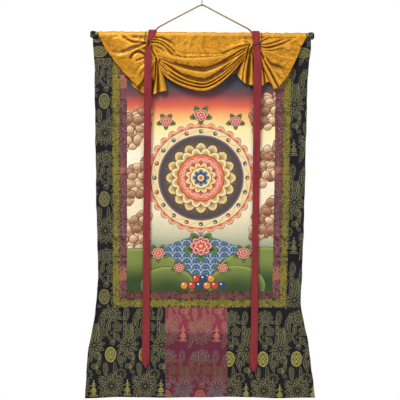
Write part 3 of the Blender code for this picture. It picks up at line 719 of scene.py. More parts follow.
def brocade(name, ground, tint, thread, gold, bands=()):
    """Brocade in given colours: ground, inside the motifs, drawn thread, gold thread over its dark.
    Bands are heights where the weaver changed the shuttle: from, to, and three colours again."""
    finish, shader = start_finish(name, roughness=0.72, specular=0.18)
    x, y = cloth_place()
    streak = mottle(x * 3.0, y * 0.35, 2.2, detail=3, seed=1.0)
    patches = rise(mottle(x, y, 60.0, seed=5.0), 0.35, 0.65)
    group = new_node("Group", {0: point(x, y)}, node_tree=drawing)
    lines, filled, golden, medals = (Field(socket) for socket in group.outputs)
    base = over(ground[0], patches, ground[1])
    for low, high, *codes in bands:
        here = rise(y + streak * 16, low - 4, low + 18) * rise(y + streak * 16, high + 18, high - 4)
        base, tint, thread = (over(was, here, code) for was, code in zip((base, tint, thread), codes))
    thready = weave(x, y, 0.9)
    base = over(base, filled * (streak * 0.5 + 0.6), tint)
    base = over(base, medals * 0.8, gold[0])
    base = over(base, lines * (streak * 0.5 + 0.65), thread)
    gilt = over(gold[1], rise(streak, 0.35, 0.65), gold[2])
    if bands:
        gilt = over(gilt, rise(y, -150, -230) * 0.7, "8a5048")
    base = over(base, golden, gilt)
    dress(shader, over(base, thready * 0.22, "000000"), thready * 0.5 + streak + golden * 0.8, 0.25)
    return finish


black_brocade = brocade("black_brocade_woven", ("131218", "1a1921"), "28251e", "827d5a",
                        ("343018", "8c8544", "b3aa56"))
side_brocade = brocade("side_brocade_woven", ("131218", "1a1921"), "28251e", "7c7858",
                       ("343018", "6d673c", "8d8658"))
wine_brocade = brocade(
    "wine_brocade_woven", ("6d2c3c", "66283a"), "53323a", "92706e", ("7c3a3c", "b86a58", "d88e70"),
    ((-92, 20, "8e3a48", "8e564e", "a6756a"), (-118, -92, "6a2638", "5c3a36", "8a6258"),
     (-215, -165, "6a2a36", "5c3a34", "80584a"), (-290, -240, "6c2a38", "564a50", "7c6c70")))
print("brocades:", black_brocade.name, side_brocade.name, wine_brocade.name)

# %% [markdown]
# The narrow strips are brocades as well, but so small in figure that their flowers run together.
# Drawing them motif by motif would be wasted work, so their curls are the level lines of a soft noise,
# like the lines of height on a map. The backs show only short floats of thread behind the weaving.

# %% Narrow strips and the backs


def strip_brocade(name, ground, curls, flecks, patch, fringe):
    """A small-figured brocade: curls are the level lines of a soft noise, with flecks and patches.
    Its map is measured from the strip's middle, so spiky marks can reach in from both its edges."""
    finish, shader = start_finish(name, roughness=0.7, specular=0.2)
    x, y = cloth_place()
    streak = mottle(x * 3.0, y * 0.4, 2.0, detail=3, seed=2.0)
    tone, level = mottle(x, y, 26.0, seed=6.0), mottle(x, y, 17.0, detail=1, warp=1.2, seed=4.0)
    patches = mottle(x * 0.5, y * 0.6, 44.0, detail=1, seed=9.0)
    spikes = mottle(x * 0.12, y, 4.2, detail=1, rough=0.6, seed=7.0)
    dots = mottle(x, y, 5.2, detail=2, warp=0.6, seed=8.0)
    base = over(ground[0], rise(tone, 0.38, 0.64), ground[1])
    base = over(base, rise(patches, 0.56, 0.62), patch)
    scroll = line(wrapped(level * 10.0, 0.5), 0.15, 0.07)
    base = over(base, scroll * (streak * 0.6 + 0.35), curls)
    base = over(base, line(wrapped(level * 10.0 + 0.3, 0.5), 0.1, 0.08) * 0.7, flecks)
    base = over(base, rise(dots, 0.58, 0.66) * 0.85, flecks)
    base = over(base, rise(abs(x) + (spikes - 0.5) * 24.0, 9.0, 11.0) * fringe, flecks)
    thready = weave(x, y, 0.9)
    dress(shader, over(base, thready * 0.2, "000000"), thready * 0.5 + streak, 0.25)
    return finish


olive_brocade = strip_brocade(
    "olive_brocade_woven", ("6e651f", "877a1e"), "a39b62", "2a2410", "8f7a12", 0.9)
shaded_burgundy = strip_brocade(
    "burgundy_brocade_foot", ("583133", "6c3c3c"), "8c6660", "2c1416", "86503f", 0.45)
burgundy_brocade = strip_brocade(
    "burgundy_brocade_woven", ("64343a", "7e3e44"), "a07e7a", "33161c", "b26a50", 0.45)


def plain_back(name, code, dark):
    """The wrong side of a cloth: floats of thread in short runs, with no drawing to read."""
    finish, shader = start_finish(name, roughness=0.8, specular=0.2)
    x, y = cloth_place()
    floats = mottle(x * 0.5, y * 3.0, 2.6, detail=3)
    thready = weave(x, y, 1.0)
    base = over(over(code, floats, dark), thready * 0.25, "000000")
    dress(shader, base, thready * 0.6 + floats * 0.5, 0.25)
    return finish


dark_back = plain_back("dark_lining", "2a2926", "3d3a2c")
canvas_back = plain_back("canvas_back", "b9a98a", "a08f70")
print("finishes so far:", len(bpy.data.materials))

# %% [markdown]
# The canvas carries a geometric lotus wheel with clouds, waves and blossoms, all common ornaments
# drawn by formula: opaque paint in flat tones with thin dark outlines, matte, on a fine canvas. The
# random patches are worked out first, from the bare cloth, because a renderer can hold only so many
# numbers while it waits for one of them.

# %% Canvas and sky
canvas_paint, shader = start_finish("canvas_paint", roughness=0.6, specular=0.25)
cloth_x, cloth_y = cloth_place()
shift_x, shift_y = (mottle(cloth_x, cloth_y, 16.0, seed=seed) - 0.5 for seed in (3.0, 8.0))
drift = mottle(cloth_x, cloth_y, 70.0, seed=1.0) - 0.5
shore = mottle(cloth_x, cloth_y, 45.0, seed=5.0) - 0.5
heaps = mottle(cloth_x * 0.7, cloth_y, 60.0, detail=1, seed=12.0)
brush = mottle(cloth_x, cloth_y * 2.2, 7.0, detail=4, seed=15.0)
x, y = cloth_x + shift_x * 2.0, cloth_y + shift_y * 2.0
OUTLINE = "5b3f33"

# Sky at the top, pale middle, hills and water at the foot: one ramp over the height.
SKY = ((0.0, "35422b"), (0.10, "66703a"), (0.17, "5f7c66"), (0.26, "c9c4a4"), (0.36, "f4e4c0"),
       (0.62, "faf1d6"), (0.74, "fbe7a6"), (0.80, "f5b873"), (0.85, "dd6248"), (0.90, "7a444a"),
       (0.94, "42424c"), (1.0, "33333c"))
paint = ramp((y + 301 + drift * 14) / 602, SKY)
print("sky:", len(SKY), "colours")

# %% Outlines, petals and turns of colour

def outlined(under, edge, fill, width=0.9, ink=OUTLINE):
    """Lays fill where edge is under 0, and an ink line along its border."""
    return over(over(under, rise(edge, 0.3, -0.3), fill), line(edge, width), ink)


def petal_ring(under, r, turn, size, depth, petals, tones, start=0.0):
    """A ring of petals: the edge is size plus depth times |cos|^0.7; paler towards each tip."""
    lobe = abs(cosine(turn * (petals / 2) + start)) ** 0.7
    edge = r - (lobe * depth + size)
    tone = over(tones[0], rise(edge, -depth * 1.1, -2.0), tones[1])
    vein = line(wrapped(turn * (petals / 2) + start, np.pi / 2) * r * (2 / petals), 0.5)
    return outlined(under, edge, over(tone, vein * 0.5, tones[0]))


def in_turn(number, tones):
    """One of three colours, by the whole number nearest to the given one."""
    which = wrapped(made("ROUND", number), 1.5)
    return over(over(tones[0], rise(which, -0.6, -0.4), tones[1]), rise(which, 0.4, 0.6), tones[2])


print("painter's helpers ready")

# %% Clouds up both sides
# Three sets of puffs in rows, each pale above and brown below, some darker than others. Whether a
# puff is there depends on its own middle, so each is whole.
PUFF = 25.0
puff_x, puff_y = x + shore * 26, y + heaps * 26
for shift in (0.0, 0.36, 0.7):
    cell_y = wrapped(puff_y + shift * PUFF, PUFF / 2)
    middle_y = puff_y - cell_y
    cell_x = wrapped(puff_x + shift * PUFF * 0.6 + sine(middle_y * 0.61) * PUFF * 0.4, PUFF * 0.49)
    middle_x = puff_x - cell_x
    pick = sine(middle_x * 0.31 + middle_y * 0.17) * 0.5 + 0.5
    heap = sine(middle_y * 0.042 + sine(middle_x * 0.021) * 1.6)
    there = (rise(abs(middle_x) + heap * 16, 150, 151) * rise(heap, -0.45, -0.44)
             * rise(abs(middle_y - 34), 222, 221))
    edge = away(cell_x, cell_y) - PUFF * (pick * 0.07 + 0.41)
    dark = rise(pick, 0.25, 0.8)
    tone = over(over("c08c60", dark, "7f4a32"), rise(cell_y + edge * 0.4, -PUFF * 0.45, PUFF * 0.3),
                over("f8dfb6", dark * 0.75, "a8714a"))
    tone = over(tone, line(edge + PUFF * 0.16, 0.6) * rise(cell_x, -2, 3) * 0.8, "7a4e38")
    paint = over(paint, there * rise(edge, 1.2, 0.8), outlined(paint, edge, tone, 1.0, "7a4e38"))
print("nodes with the clouds:", len(Field.tree.nodes))

# %% Water, hills and jewels
# Waves at the foot: rows of half circles with pale crests.
wave_zone = rise(y + abs(x) * 0.35, -138, -144) * rise(y + sine(x / 24) * 8, -262, -256)
for shift in (0.0, 0.5):
    cell_y = wrapped(y + shift * 16, 8.0)
    cell_x = wrapped(x + shift * 26, 13.0)
    r = away(cell_x, cell_y + 5.0)
    ripple = over("2f5078", line(wrapped(r, 2.6), 0.5) * 0.8, "a9c3cc")
    paint = over(paint, wave_zone * rise(r, 14.0, 13.4), over(ripple, line(r - 13.2, 0.7), "dfe7de"))

# Hills left and right of the water.
for centre, size in ((-178, 118), (178, 122), (-92, 60), (98, 64)):
    edge = away((x - centre) * 0.8, (y + 285) * 1.15) - size
    tone = over("2c4720", rise(y + edge * 0.5, -325, -225) * 0.6 + rise(edge, -13, -1) * 0.35, "9aa452")
    paint = outlined(paint, edge, tone, 0.8, "2b3a26")

# Round jewels heaped at the foot, each with a glint.
for lift, reach in ((-266, 34), (-285, 62)):
    cell = wrapped(x + lift * 0.5, 10.5)
    middle = x - cell
    tone = in_turn(middle / 21, ("c8402f", "26436e", "d98a3c"))
    tone = over(tone, rise(away(cell + 3, y - lift - 4), 3.4, 1.4), "f6e6d0")
    jewel = away(cell, y - lift) - 10.0
    paint = over(paint, rise(abs(middle), reach, reach - 1), outlined(paint, jewel, tone, 0.8, "4a2c22"))
print("nodes with the foot of the painting:", len(Field.tree.nodes))

# %% The lotus wheel
# Rays, a gem-set ring, petals and a golden rosette, each by distance and angle.
wheel_y = y - 12
r, turn = away(x, wheel_y), turn_of(x, wheel_y)
paint = petal_ring(paint, r, turn, 140, 12, 32, ("c9503f", "f3b48e"))
paint = outlined(paint, r - 138.5, "ecd6a2", 1.1, "b4654c")
GEMS, GEM_RING = 20, 128
gem_turn = turn * (GEMS / TAU)
gem = away(wrapped(gem_turn, 0.5) * (TAU / GEMS) * GEM_RING, r - GEM_RING)
gem_tone = in_turn(gem_turn, ("3d6b45", "b23a30", "35537c"))
gem_tone = over(gem_tone, rise(away(wrapped(gem_turn, 0.5) * 40 + 1.5, r - 129.6), 2.2, 1.2), "f6efe0")
paint = outlined(paint, gem - 5.4, gem_tone, 0.9, "8d6a3c")
scroll = (line(sine(turn * GEMS) * 4 - (r - GEM_RING), 0.5) * rise(gem, 7.0, 8.0)
          * rise(abs(r - GEM_RING), 9, 8))
paint = over(paint, scroll, "a5824a")
paint = outlined(paint, r - 117, "3f5f88", 1.0, "a4533f")
ray = line(wrapped(turn * (72 / TAU), 0.5), 0.16, 0.08) * (sine(turn * 31) * 0.25 + 0.6)
ray_tone = over("685a4c", ray, "c9ac72")
paint = outlined(paint, r - 112, over("50443e", rise(r, 112, 60), ray_tone), 0.8)
paint = petal_ring(paint, r, turn, 78, 19, 16, ("9c7434", "ecd090"))
paint = petal_ring(paint, r, turn, 68, 15, 16, ("b98c3e", "f7e3b0"), np.pi / 2)
paint = outlined(paint, r - 64, over("f4ae80", rise(r, 50, 62), "e8684c"), 0.9)
paint = petal_ring(paint, r, turn, 43, 14, 12, ("c4463f", "f6b29c"))
paint = petal_ring(paint, r, turn, 31, 12, 12, ("c99238", "f8e2a4"), np.pi / 2)
paint = outlined(paint, r - 29, over("f6dfa6", line(wrapped(r, 2.0), 0.35) * 0.6, "b4843c"), 0.8)
paint = petal_ring(paint, r, turn, 15, 7, 8, ("1f3a60", "5f86a8"))
paint = outlined(paint, r - 10, over("f4d98c", rise(r, 8, 3), "d8605c"), 0.7)
print("nodes with the wheel:", len(Field.tree.nodes))

# %% Blossoms, brush marks and dirt
# Blossoms with leaves: above the wheel and in the water.
for centre_x, centre_y, size in ((-96, 168, 17), (96, 168, 17), (0, -176, 30), (-118, -196, 19),
                                 (118, -196, 19), (-60, -236, 15), (60, -236, 15), (0, 186, 20)):
    bx, by = x - centre_x, y - centre_y
    r, turn = away(bx, by * 1.15), turn_of(bx, by)
    leaves = r - (abs(cosine(turn * 2.5 + 0.8)) ** 2.0 * (0.75 * size) + 0.85 * size)
    paint = outlined(paint, leaves, over("264226", rise(leaves, -size * 0.6, -1), "64843c"), 0.7, "27361f")
    paint = petal_ring(paint, r, turn, 0.75 * size, 0.28 * size, 8, ("bb3c44", "f3a8a0"))
    paint = petal_ring(paint, r, turn, 0.46 * size, 0.2 * size, 7, ("d8544c", "f9cdbc"), 0.6)
    paint = outlined(paint, r - 0.2 * size, "eebf5a", 0.6)

# Brush marks, a little dirt, and the thread of the canvas under the paint.
thread = weave(cloth_x, cloth_y, 0.8)
paint = over(paint, rise(brush, 0.45, 0.7) * 0.12, "5a4634")
dress(shader, over(paint, thread * 0.06, "3a2a20"), thread * 0.4 + brush, 0.15)
print("nodes in the painting:", len(Field.tree.nodes))

# %% [markdown]
# Fifteen panels are sewn together: the canvas, eight mitred strips, the head panel, two sides and the
# three pieces of the foot. One big sheet with seams drawn on it would be less work, but cloth lies
# under cloth at a seam, and that edge catches the light. So each panel is cut on its own, and a table
# says which seams it lies between: a seam that moves takes both its cloths along.

# %% Cut and sew the flat cloths
CLOTHS = {       # slot, and the finishes of front, back and rim
    "canvas": ("painted_canvas", [canvas_paint, canvas_back, canvas_back]),
    "burgundy": ("burgundy_brocade", [burgundy_brocade, dark_back, burgundy_brocade]),
    "shaded": ("burgundy_brocade", [shaded_burgundy, dark_back, shaded_burgundy]),
    "olive": ("olive_brocade", [olive_brocade, dark_back, olive_brocade]),
    "dull": ("black_brocade", [side_brocade, dark_back, dark_back]),
    "black": ("black_brocade", [black_brocade, dark_back, dark_back]),
    "wine": ("burgundy_brocade", [wine_brocade, dark_back, dark_back]),
}
ROLL_FOOT = ROLL_HEIGHTS[0] - ROLL_RADIUS - 0.3
PANELS = (       # piece, left, right, top, foot, cloth; the side towards the painting and how much
    # shorter it is at either end; where the drawing starts; which sides are hemmed; turned or not
    ("painting", "paint_l", "paint_r", ROW_INNER, ROW_PAINT, "canvas", None, (-3, -525)),
    ("inner_left", "inner_l", "paint_l", ROW_MIDDLE, ROW_INNER_FOOT, "burgundy", ("right", 21.5, 21.5)),
    ("inner_right", "paint_r", "inner_r", ROW_MIDDLE, ROW_INNER_FOOT, "burgundy", ("left", 21.5, 21.5)),
    ("inner_top", "inner_l", "inner_r", ROW_MIDDLE, ROW_INNER, "burgundy", ("foot", 20.5, 22.5)),
    ("inner_bottom", "inner_l", "inner_r", ROW_PAINT, ROW_INNER_FOOT, "shaded", ("top", 19.5, 21)),
    ("middle_left", "middle_l", "inner_l", ROW_HEAD, ROW_MIDDLE_FOOT, "olive", ("right", 21, 23)),
    ("middle_right", "inner_r", "middle_r", ROW_HEAD, ROW_MIDDLE_FOOT, "olive", ("left", 21, 23)),
    ("middle_top", "middle_l", "middle_r", ROW_HEAD, ROW_MIDDLE, "olive", ("foot", 20, 20.5)),
    ("middle_bottom", "middle_l", "middle_r", ROW_INNER_FOOT, ROW_MIDDLE_FOOT, "olive", ("top", 18, 18)),
    ("head_panel", "left", "right", ROLL_FOOT, ROW_HEAD, "dull", None, (-284.3, -164.8), SIDES[:2], True),
    ("side_left", "left", "middle_l", ROW_HEAD, ROW_MIDDLE_FOOT, "dull", None, (-269.5, -301), ("left",)),
    ("side_right", "middle_r", "right", ROW_HEAD, ROW_MIDDLE_FOOT, "dull", None, (207, -337.6), ("right",)),
    ("apron_left", "left", "apron_l", ROW_MIDDLE_FOOT, ROW_FOOT, "black", None, (-252.3, -1001),
     ("left", "foot")),
    ("apron_centre", "apron_l", "apron_r", ROW_MIDDLE_FOOT, ROW_FOOT, "wine", None, (-98.6, -850), ("foot",)),
    ("apron_right", "apron_r", "right", ROW_MIDDLE_FOOT, ROW_FOOT, "black", None, (168, -1013),
     ("right", "foot")),
)
for name, left, right, top, foot, cloth, *more in PANELS:
    flat_cloth(name, left, right, top, foot, *CLOTHS[cloth], *more)

# %% [markdown]
# The head is the top of the black brocade rolled up on itself. A plain cylinder would be too even for
# cloth, so it is a circle carried along the roll, a little lumpy, with rounded ends where the turns of
# cloth show as a spiral.

# %% Rolled head
DOME, LUMP = 5.0, 0.2      # length of a rounded end; how much thicker the roll is near it


def rolled_head():
    """Rings of radius ROLL_RADIUS times a dome at the ends; the end faces are rippled by a spiral."""
    near = np.concatenate([np.linspace(0, DOME, 12), np.linspace(DOME + 0.5, 26, 18)])
    x = np.concatenate([ROLL_ENDS[0] + near, np.linspace(ROLL_ENDS[0] + 29, ROLL_ENDS[1] - 29, 190),
                        ROLL_ENDS[1] - near[::-1]])
    turn = np.linspace(0, TAU, 49)
    near_end = np.minimum(x - ROLL_ENDS[0], ROLL_ENDS[1] - x)
    dome = np.sqrt(np.clip(1 - (1 - np.clip(near_end / DOME, 0, 1)) ** 2, 0.0, 1))
    lump = LUMP * np.clip((24 - near_end) / 14, 0, 1) + 0.02 * np.sin(x / 37)
    axis_z = np.interp(x, ROLL_ENDS, ROLL_HEIGHTS) + ROLL_RADIUS * lump
    seam = 1 - 0.05 * np.exp(-((turn - 3.6) / 0.14) ** 2)
    uneven = (1 + 0.018 * np.sin(3 * turn + x[:, None] / 41)
              + 0.012 * np.sin(x[:, None] / 9 + turn))
    radius = ROLL_RADIUS * (dome * (1 + lump))[:, None] * uneven * seam
    spiral = 0.7 * np.sin(TAU * (radius / 2.1 - turn / TAU)) * (dome < 0.97)[:, None]
    outward = np.where(x < 0, -1, 1)[:, None]
    points = np.stack([x[:, None] + outward * spiral, -radius * np.cos(turn),
                       axis_z[:, None] + radius * np.sin(turn)], -1)
    rows, columns = points.shape[:2]
    index = np.arange(rows * columns).reshape(rows, columns)
    index[:, -1] = index[:, 0]
    index[0, :] = index[0, 0]
    index[-1, :] = index[-1, 0]
    faces = np.stack([index[:-1, :-1], index[:-1, 1:], index[1:, 1:], index[1:, :-1]], -1).reshape(-1, 4)
    place = np.stack(np.broadcast_arrays(x[:, None], turn * ROLL_RADIUS), -1)
    return points.reshape(-1, 3), faces, place.reshape(-1, 2)


def tidy_mesh(points, faces, place):
    """Drops corners of a face that are the same point twice, and points that no face uses."""
    faces = [list(dict.fromkeys(face)) for face in faces.tolist()]
    faces = [face for face in faces if len(face) > 2]
    used = np.unique(np.concatenate(faces))
    new = dict(zip(used.tolist(), range(len(used))))
    return points[used], [[new[corner] for corner in face] for face in faces], place[used]


roll = add_mesh("head_roll_rolled", *tidy_mesh(*rolled_head()), [black_brocade])
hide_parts("head_roll")
print("roll:", len(roll.data.polygons), "faces")

# %% [markdown]
# The silk cover hangs from the roll and is caught up at two ties. A cloth simulation could gather it
# too, but not with each fold where this cover has it. So its shape is a family of lines, from the seam
# down to the hem: each runs from the left edge to the left tie, sags across to the right tie and runs
# out to the right edge. A cubic through the table gives the lines between the rows, so every ridge and
# hollow is soft.

# %% Tables of the silk
# x, z, out: where a line ends on the edge; bulge, sag: how far its middle stands out and hangs down
LEFT_WING = (
    (-283.5, -122.5, 10.2, 0, 0), (-280, -130, 8.5, 2, 2), (-275, -140, 7, 3.5, 7),
    (-264, -160, 6.5, 4.5, 11), (-254, -173, 7.5, 6, 13), (-245, -186, 8, 6.5, 12),
    (-236, -198, 8.7, 7, 10), (-228, -208, 9.4, 7, 9), (-219, -219.5, 10.2, 7, 8),
    (-209, -229.5, 11, 6.5, 7), (-199, -239.5, 11.8, 6, 6), (-188.5, -250, 12.6, 5.5, 4.5),
    (-177.8, -259.2, 13.4, 4, 2), (-159.5, -240.5, 13.4, 2, 0), (-168, -262, 5.6, 0, 0),
    (-198, -240.5, 4, 0, 0), (-193, -258, 3.8, 0, 0), (-176, -272.5, 4, 0, 0), (-160, -281, 4.8, 0, 0),
    (-139, -282, 6.5, -2, 0), (-130, -282.5, 16, 2, 0), (-121.5, -277.5, 7, -2.5, 0),
    (-109, -275.5, 16.5, 2.5, -4), (-96.3, -272.4, 8, 0, -9),
)
RIGHT_WING = (
    (287.5, -126.6, 10.2, 0, 0), (286.2, -128.6, 9.6, 0.8, -1), (284.8, -130.8, 9, 1.2, -2),
    (281.6, -135.6, 8.5, 2, 0), (278.4, -142, 8, 2.5, 2), (275, -148.6, 8, 3.5, 4), (270.4, -159, 7, 4, 7),
    (266, -171, 7.5, 6, 8), (261, -184, 8, 7.5, 9), (256, -194, 7.5, 5.5, 9), (250.8, -205.4, 8.5, 3, 8),
    (243, -219.5, 10, 4, 6), (234.6, -233.8, 11.5, 5, 4), (223.6, -248, 12.5, 6.5, 2),
    (211.4, -261.8, 13.5, 6, 0), (199, -268.2, 12.5, 5, 0), (193.5, -257.5, 5.5, -5, 0),
    (182, -248.5, 8.5, 2, 0), (165, -259.5, 10.5, 3, 0), (151, -258, 6.5, -1, 0), (137, -258.5, 16, 1.5, 0),
    (124.5, -255.5, 7.5, -3, -3), (109, -246, 16.5, 1, -9), (97.5, -231.8, 8.5, -0.5, -15),
)
# tie_l, z, out, tie_r, leave_l, leave_r: places on the ties, lowest point, and how the line leaves
SWAG = (
    (0, -126, 10.2, 0, 0, 0), (0.5, -142, 11.5, 0.45, 0.5, 0.3), (0.74, -163, 13.5, 0.68, 1, 0.7),
    (0.86, -170.5, 13, 0.84, 1, 1), (0.98, -176, 15, 0.94, 1, 1), (1.3, -180, 17, 0.98, 0.8, 0.9),
    (1.72, -186.5, 23.5, 1.1, 0.3, 0.6), (1.84, -201, 19, 1.25, 0.1, 0.3),
    (1.9, -216.5, 14.5, 1.35, 0, 0.1), (1.93, -226.5, 26, 1.45, -0.05, 0),
    (1.96, -245.5, 19, 1.55, -0.12, 0), (1.98, -252, 26.5, 1.62, -0.18, 0), (2, -256, 20, 1.7, -0.22, 0),
    (2.03, -260.5, 26.5, 1.78, -0.26, 0), (2.06, -264.5, 20, 1.86, -0.3, 0),
    (2.1, -270.5, 25.5, 1.94, -0.34, 0), (2.2, -274.5, 19, 2.05, -0.36, 0),
    (2.35, -272.5, 13.5, 2.2, -0.3, 0), (2.5, -267, 11, 2.35, -0.2, 0), (2.6, -261.5, 9.6, 2.5, -0.1, 0),
    (2.7, -256, 8.6, 2.6, 0, 0), (2.8, -250.5, 7.8, 2.7, 0, 0), (2.9, -245, 7.2, 2.85, 0, 0),
    (3, -239.5, 6.6, 3, 0, 0),
)
# x, z, out at places 0 to 3 down each tie
TIE_LINE_LEFT = ((-144, -123.5, 10.2), (-145, -144, 15.5), (-124, -183.5, 14.8), (-121, -185, 7.5))
TIE_LINE_RIGHT = ((147, -126, 10.2), (148, -145, 16.5), (138, -150.5, 14.8), (136, -153, 7.5))
SAG_POWERS = (2.2, 1.8)    # how round the left and the right half of a line hang
WRAP_RADIUS = ROLL_RADIUS + 1.9
LINES, WING_STEPS, SWAG_STEPS = 142, 84, 150
print("rows in the tables:", len(LEFT_WING), len(RIGHT_WING), len(SWAG))

# %% Lines of the silk


def tie_place(tie_line, at):
    """A point down a tie line, straight between its corners."""
    corners = np.array(tie_line, float)
    return np.stack([np.interp(at, range(len(corners)), corners[:, axis]) for axis in range(3)], -1)


def drop_shape(s, leave, power):
    """How a line falls from a tie (s = 0) to its lowest point (s = 1): evenly, late or steeply."""
    even, late = 1 - (1 - s) ** power, 1 - (1 - s ** 3) ** 12
    share = np.abs(leave)
    steep = (1 - (1 - s) ** 12) * share + (1 - (1 - s) ** 1.6) * (1 - share)
    far = np.clip(share / 0.3, 0, 1)
    return np.where(leave < 0, steep * far + even * (1 - far), even * (1 - share) + late * share)


def straight(first, last, steps):
    """Even steps from the first point of every line to its last, each an x, z and out."""
    w = np.linspace(0, 1, steps + 1)[:, None]
    return first[:, None, :3] * (1 - w) + last[:, None] * w


def wing(edge, tie):
    """Straight from the edge to the tie, but bulging and sagging as a parabola."""
    w = np.linspace(0, 1, WING_STEPS + 1)
    arch = 4 * w * (1 - w)
    lines = straight(edge, tie, WING_STEPS)
    lines[..., 1] -= edge[:, 4:5] * arch
    lines[..., 2] += edge[:, 3:4] * arch
    return lines


def silk_lines():
    """Lines by steps of (x, out, z): left wing, swag and right wing; and each line's row in the tables."""
    at = np.linspace(0, len(SWAG) - 1, LINES)
    left, right, swag = (rows_through(table, at) for table in (LEFT_WING, RIGHT_WING, SWAG))
    tie_l, tie_r = tie_place(TIE_LINE_LEFT, swag[:, 0]), tie_place(TIE_LINE_RIGHT, swag[:, 3])
    u = np.linspace(0, 1, SWAG_STEPS + 1)[None, :]
    pointed = np.interp(at, (5, 7, 10, 13, 16), (0, 1, 1, 0.5, 0))[:, None]
    fall = np.where(u < 0.5, drop_shape(np.clip(2 * u, 0, 1), swag[:, 4:5], SAG_POWERS[0] - 0.75 * pointed),
                    drop_shape(np.clip(2 - 2 * u, 0, 1), swag[:, 5:6], SAG_POWERS[1] - 0.4 * pointed))
    swell = 1 - np.abs(2 * u - 1) ** 2.5
    middle = straight(tie_l, tie_r, SWAG_STEPS)
    middle[..., 1] += (swag[:, 1:2] - (tie_l[:, 1:2] + tie_r[:, 1:2]) / 2) * fall
    middle[..., 2] = middle[..., 2] * (1 - swell) + swag[:, 2:3] * swell
    lines = np.concatenate([wing(left, tie_l)[:, :-1], middle, wing(right, tie_r)[:, -2::-1]], 1)
    return lines[..., [0, 2, 1]], at


hanging, row_at = silk_lines()
print("silk lines:", hanging.shape)

# %% [markdown]
# On those lines come the creases that the table is too coarse for. Each is a short path, seen from
# the front, with a depth and a width: cloth near it moves out or in by depth times exp(-(d/width)^2).
# Near the ties the gathers are finer, a sine across the lines that dies away along them.

# %% Table of creases
CREASES = (      # depth at the start and at the end, width, then x, z along the path
    (-3.4, -0.4, 3.4, ((-157, -143), (-177, -149), (-196, -157), (-215, -164), (-232, -164))),
    (2.4, 1.2, 4, ((-156, -150), (-185, -163), (-211, -175), (-230, -178), (-254, -171))),
    (-3, -0.5, 3.4, ((-159, -141), (-188, -139), (-204, -132), (-218, -121), (-228, -109))),
    (-3.4, -2.2, 3.6, ((-155, -175), (-168, -168), (-179, -167), (-190, -174), (-197, -190))),
    (-2, -1, 2.4, ((-155, -182), (-171, -187), (-184, -193))),
    (-1.2, -0.8, 4.5, ((-155, -196), (-174, -210), (-188, -232))),
    (-1, -0.8, 4, ((-155, -213), (-168, -226), (-178, -248))),
    (-4.2, -1.5, 2.6, ((-139, -141), (-124, -140), (-109, -147), (-94, -160), (-80, -175), (-63, -182))),
    (-3.2, -1.2, 2.4, ((-134, -133), (-116, -135), (-99, -144), (-84, -157), (-70, -171), (-54, -182))),
    (-2, -0.5, 4.4, ((-127, -128), (-108, -129), (-88, -138), (-69, -157))),
    (-2.6, -1.6, 2.2, ((-139, -148), (-136, -166), (-123, -188))),
    (-2.8, -0.6, 2.3, ((-117, -186), (-83, -200), (-50, -213), (-14, -220))),
    (-2.8, -1, 2.1, ((-117, -189), (-88, -207), (-58, -228), (-28, -246), (3, -258))),
    (-2.5, -0.8, 2.1, ((-119, -191), (-94, -214), (-65, -238), (-28, -259))),
    (-2.2, -0.8, 2, ((-120, -194), (-99, -219), (-73, -244), (-39, -264))),
    (-3.4, -1, 2.6, ((132, -147), (105, -152), (77, -161), (47, -175))),
    (-3.2, -0.5, 2.4, ((132, -150), (105, -164), (77, -181), (47, -198), (11, -215))),
    (-3, -0.8, 2.2, ((130, -152), (105, -173), (80, -195), (52, -215), (19, -236))),
    (-2.7, -0.8, 2.2, ((129, -156), (105, -181), (83, -203), (55, -228), (22, -250))),
    (-2.4, -0.8, 2.1, ((128, -160), (107, -188), (83, -214), (55, -240), (22, -262))),
    (-3.4, -3.4, 2.2, ((-126, -185), (-128, -229), (-130, -315))),
    (-3.8, -3.8, 2.6, ((127, -160), (121, -188), (114, -221), (108, -287))),
    (-3, -3, 2, ((131, -166), (128, -193), (125, -226), (126, -293))),
    (-2.4, -0.8, 2.4, ((158, -145), (168, -136), (182, -128), (204, -117))),
    (-3.2, -1.6, 2.6, ((159, -148), (177, -146), (196, -141), (226, -131), (259, -118))),
    (-4, -2, 2.9, ((160, -153), (182, -155), (204, -150), (229, -140), (268, -120))),
    (-2.4, -0.8, 2.4, ((161, -158), (179, -163), (196, -162), (221, -153))),
    (2.6, 1, 4.4, ((161, -163), (174, -172), (188, -181), (207, -185), (232, -177))),
    (-2.6, -3.2, 6, ((171, -182), (185, -196), (204, -204), (232, -210))),
    (-4.4, -3.2, 2.9, ((161, -167), (171, -190), (182, -210), (196, -235), (214, -273))),
    (2.6, 2.4, 3.6, ((172, -188), (189, -215), (210, -254))),
    (-2.6, -2.6, 2.4, ((159, -174), (166, -204), (171, -232), (174, -290))),
)
DEEPER, CRUMPLED = 1.15, 0.28     # all creases times this; height of the smallest wrinkles
print("creases:", len(CREASES))

# %% Creases and gathers


def near_path(x, z, path):
    """Distance to a path of straight parts, and how far along it the nearest point is, 0 to 1."""
    path = np.array(path, float)
    steps = np.diff(path, axis=0)
    lengths = np.hypot(*steps.T)
    before = np.concatenate([[0], np.cumsum(lengths)])
    nearest_now, along = np.full(x.shape, 1e9), np.zeros(x.shape)
    for start, step, length, done in zip(path, steps, lengths, before):
        t = np.clip(((x - start[0]) * step[0] + (z - start[1]) * step[1]) / length ** 2, 0, 1)
        gap = np.hypot(x - start[0] - t * step[0], z - start[1] - t * step[1])
        closer = gap < nearest_now
        nearest_now = np.where(closer, gap, nearest_now)
        along = np.where(closer, (done + t * length) / before[-1], along)
    return nearest_now, along


